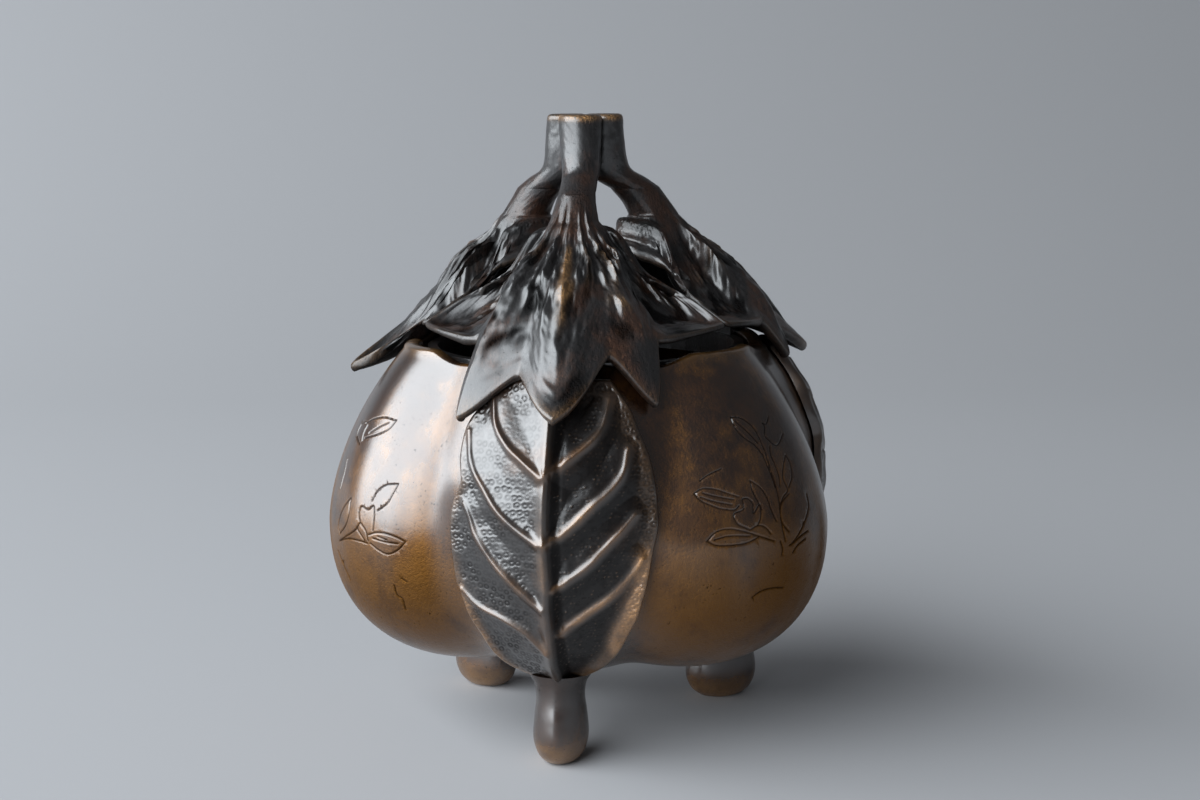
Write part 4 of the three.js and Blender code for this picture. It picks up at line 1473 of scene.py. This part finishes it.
@dataclass
class Stem(Piece):
    """A stem: a flat-topped stub that bends outwards into the neck of its calyx."""

    body: ClassVar[Body] = Body.LID
    slot: ClassVar[Slot] = Slot.LID
    finish: ClassVar[Patina] = LID_PATINA
    sides: int = 120
    stations: tuple[Station, ...] = (
        (109.16, 11.3, 5.35, 3.72), (111.2, 7.9, 5.7, 3.65), (113.0, 5.6, 4.8, 3.8), (115.5, 4.9, 4.3, 4.05),
        (119.6, 4.5, 4.1, 4.3), (124.2, 4.4, 3.9, 4.4),
    )
    crown: Line = ((123.2, 0.0), (123.7, 0.1), (124.05, 0.35), (124.2, 0.85))
    stub_centre: float = 4.5

    def build(self) -> Shape:
        """Stack the stem's rings up to its rounded crown.

        Returns:
            The closed shape.
        """
        rows = flowing(np.array(self.stations), 16)
        _, distance, radial, sideways = rows[-1]
        crown = [(z, distance, radial - cut, sideways - cut) for z, cut in self.crown]
        rows = np.vstack([rows[rows[:, 0] < self.crown[0][0] - 0.1], crown])
        rings = stem_rings(rows, np.arange(self.sides) * 360.0 / self.sides, self.turn)
        caps = [lerp(rings[-1].mean(axis=0), rings[-1], share) for share in (0.7, 0.35)]
        rings = np.concatenate([rings, caps])
        rings[..., 0] = np.maximum(rings[..., 0], TOUCH_GAP)
        rings = keep_in_third(rings)
        high = rings[..., 2]
        around = np.degrees(np.arctan2(rings[..., 1], rings[..., 0] - self.stub_centre))
        patch = smooth(-0.3, 0.5, drift(around * 0.1, high, size=3.0, seed=20.0))
        bend = smooth(114.5, 109.5, high)
        return loft(rings, {
            "worn": bell(high, 123.6, 0.6) * (0.5 + 0.5 * patch),
            "recess_and_shade": 0.4 * smooth(124.05, 124.2, high) + 0.25 * bend,
            "tone": lerp(0.4 * patch - 0.2, 0.3, bend),
        })


# Stage


@dataclass(frozen=True)
class PhotoCamera:
    """The photograph's viewing place. Lengths are in metres and turns in degrees."""

    distance: float = 0.3951
    height: float = 0.1323
    azimuth: float = 10.8
    pitch: float = 9.521
    yaw: float = 0.404
    roll: float = -0.549
    lens: float = 58.53

    def make(self) -> None:
        """Put the camera in the scene."""
        data = bpy.data.cameras.new("camera")
        data.lens = self.lens
        camera = bpy.data.objects.new("camera", data)
        bpy.context.scene.collection.objects.link(camera)
        pitch, yaw, roll = (math.radians(part) for part in (self.pitch, self.yaw, self.roll))
        forward = Vector((math.sin(yaw) * math.cos(pitch), math.cos(yaw) * math.cos(pitch), -math.sin(pitch)))
        level = Vector((math.cos(yaw), -math.sin(yaw), 0.0))
        up = level.cross(forward)
        right = level * math.cos(roll) + up * math.sin(roll)
        upward = up * math.cos(roll) - level * math.sin(roll)
        turn = Matrix((right, upward, -forward)).transposed().to_4x4()
        place = Matrix.Translation((0.0, -self.distance, self.height)) @ turn
        camera.matrix_world = Matrix.Rotation(math.radians(self.azimuth), 4, "Z") @ place
        bpy.context.scene.camera = camera


@dataclass(frozen=True)
class WindowLight:
    """Soft light from a window on the left. Lengths are in metres and turns in degrees."""

    azimuth: float = -142.0
    elevation: float = 28.0
    distance: float = 1.5
    width: float = 2.85
    height: float = 1.6
    power: float = 92.0
    colour: Colour = (0.89, 0.95, 1.0)
    aim_height: float = 0.06

    def make(self) -> None:
        """Put the lamp in the scene, turned to the object."""
        data = bpy.data.lights.new("window", "AREA")
        data.shape = "RECTANGLE"
        data.size = self.width
        data.size_y = self.height
        data.energy = self.power
        data.color = self.colour
        lamp = bpy.data.objects.new("window", data)
        turn, rise = math.radians(self.azimuth), math.radians(self.elevation)
        away = Vector((math.cos(rise) * math.cos(turn), math.cos(rise) * math.sin(turn), math.sin(rise)))
        lamp.location = away * self.distance + Vector((0.0, 0.0, self.aim_height))
        lamp.rotation_euler = away.to_track_quat("Z", "Y").to_euler()
        bpy.context.scene.collection.objects.link(lamp)


@dataclass(frozen=True)
class Stage:
    """A pale floor that sweeps up behind the object, and the light on it. Lengths are in metres."""

    floor_colour: Colour = (0.36, 0.36, 0.37)
    daylight: Colour = (0.92, 0.95, 1.0)
    strength: float = 0.1
    azimuth: float = 10.8
    half_width: float = 4.0
    ahead: float = -3.0
    flat: float = 0.4
    curve: float = 1.5
    wall: float = 2.2
    roughness: float = 0.8
    window: WindowLight = WindowLight()

    def make(self) -> None:
        """Lay the floor and set the light."""
        turns = np.linspace(0.0, 0.5 * math.pi, 33)
        back = self.flat + self.curve
        away = np.concatenate([[self.ahead], self.flat + self.curve * np.sin(turns), [back]])
        rise = np.concatenate([[0.0], self.curve * (1.0 - np.cos(turns)), [self.wall]])
        across = np.array([self.half_width, -self.half_width])
        rings = np.stack(np.broadcast_arrays(across, away[:, None], rise[:, None]), axis=-1)
        mesh = bpy.data.meshes.new("floor")
        mesh.from_pydata(rings.reshape(-1, 3).tolist(), [], grid_faces(len(away), 2, False))
        mesh.transform(Matrix.Rotation(math.radians(self.azimuth), 4, "Z"))
        mesh.polygons.foreach_set("use_smooth", [True] * len(mesh.polygons))
        floor = bpy.data.objects.new("floor", mesh)
        bpy.context.scene.collection.objects.link(floor)
        graph = Graph("floor")
        graph.feed("Base Color", (*self.floor_colour, 1.0))
        graph.feed("Roughness", self.roughness)
        mesh.materials.append(graph.material)
        world = bpy.data.worlds.new("world")
        world.use_nodes = True
        light = world.node_tree.nodes["Background"]
        light.inputs["Color"].default_value = (*self.daylight, 1.0)
        light.inputs["Strength"].default_value = self.strength
        bpy.context.scene.world = world
        self.window.make()
        bpy.context.scene.view_settings.view_transform = "Standard"


def pieces() -> list[Piece]:
    """List every detailed piece.

    Returns:
        The pieces.
    """
    edges = {
        "front": CalyxEdge(((-39.0, 29.7, 70.2, -1.0), (-19.0, 22.4, 78.0, -0.5), (1.0, 32.4, 71.8, 0.0),
                            (27.0, 21.4, 81.5, -0.5), (46.0, 25.7, 72.2, -1.0))),
        "rear_right": CalyxEdge(((-41.0, 24.6, 75.6, -1.0), (-22.0, 22.0, 80.0, -0.5), (0.0, 31.2, 75.0, 0.0),
                                 (21.0, 22.0, 79.5, -0.5), (42.0, 27.5, 72.0, -1.0))),
        "rear_left": CalyxEdge(((-42.0, 28.0, 72.0, -1.0), (-20.0, 22.0, 79.5, -0.5), (0.0, 30.5, 73.5, 0.0),
                                (22.0, 22.0, 80.0, -0.5), (46.0, 22.0, 82.0, 0.0), (60.0, 34.0, 75.0, 0.85))),
    }
    made: list[Piece] = [Bowl("bowl")]
    for number, (side, edge) in enumerate(edges.items()):
        turn = 120.0 * number
        depth = 0.6 if number else 1.25
        made.append(Leaf(f"leaf_{side}", turn, mirrored=side == "rear_left"))
        made.append(Foot(f"foot_{side}", turn))
        made.append(Calyx(f"calyx_{side}", turn, edge=edge, seed=float(number), depth=depth))
        made.append(Stem(f"stem_{side}", turn))
    return made


def main() -> None:
    """Build every piece, dress the collar, light the stage and note the sizes."""
    logging.basicConfig(level=logging.INFO, format="%(message)s")
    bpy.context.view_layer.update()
    finishes = (FRUIT_PATINA, LEAF_PATINA, FOOT_PATINA, LID_PATINA)
    materials = {patina.name: patina.make() for patina in finishes}
    for piece in pieces():
        piece.make(materials)
    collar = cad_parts["lid_collar"]
    collar.data.materials.clear()
    collar.data.materials.append(replace(LID_PATINA, name="collar_bronze", painted=False).make())
    LOG.info("%s: %d faces", collar.name, len(collar.data.polygons))
    PhotoCamera().make()
    Stage().make()


if __name__ == "__main__":
    main()
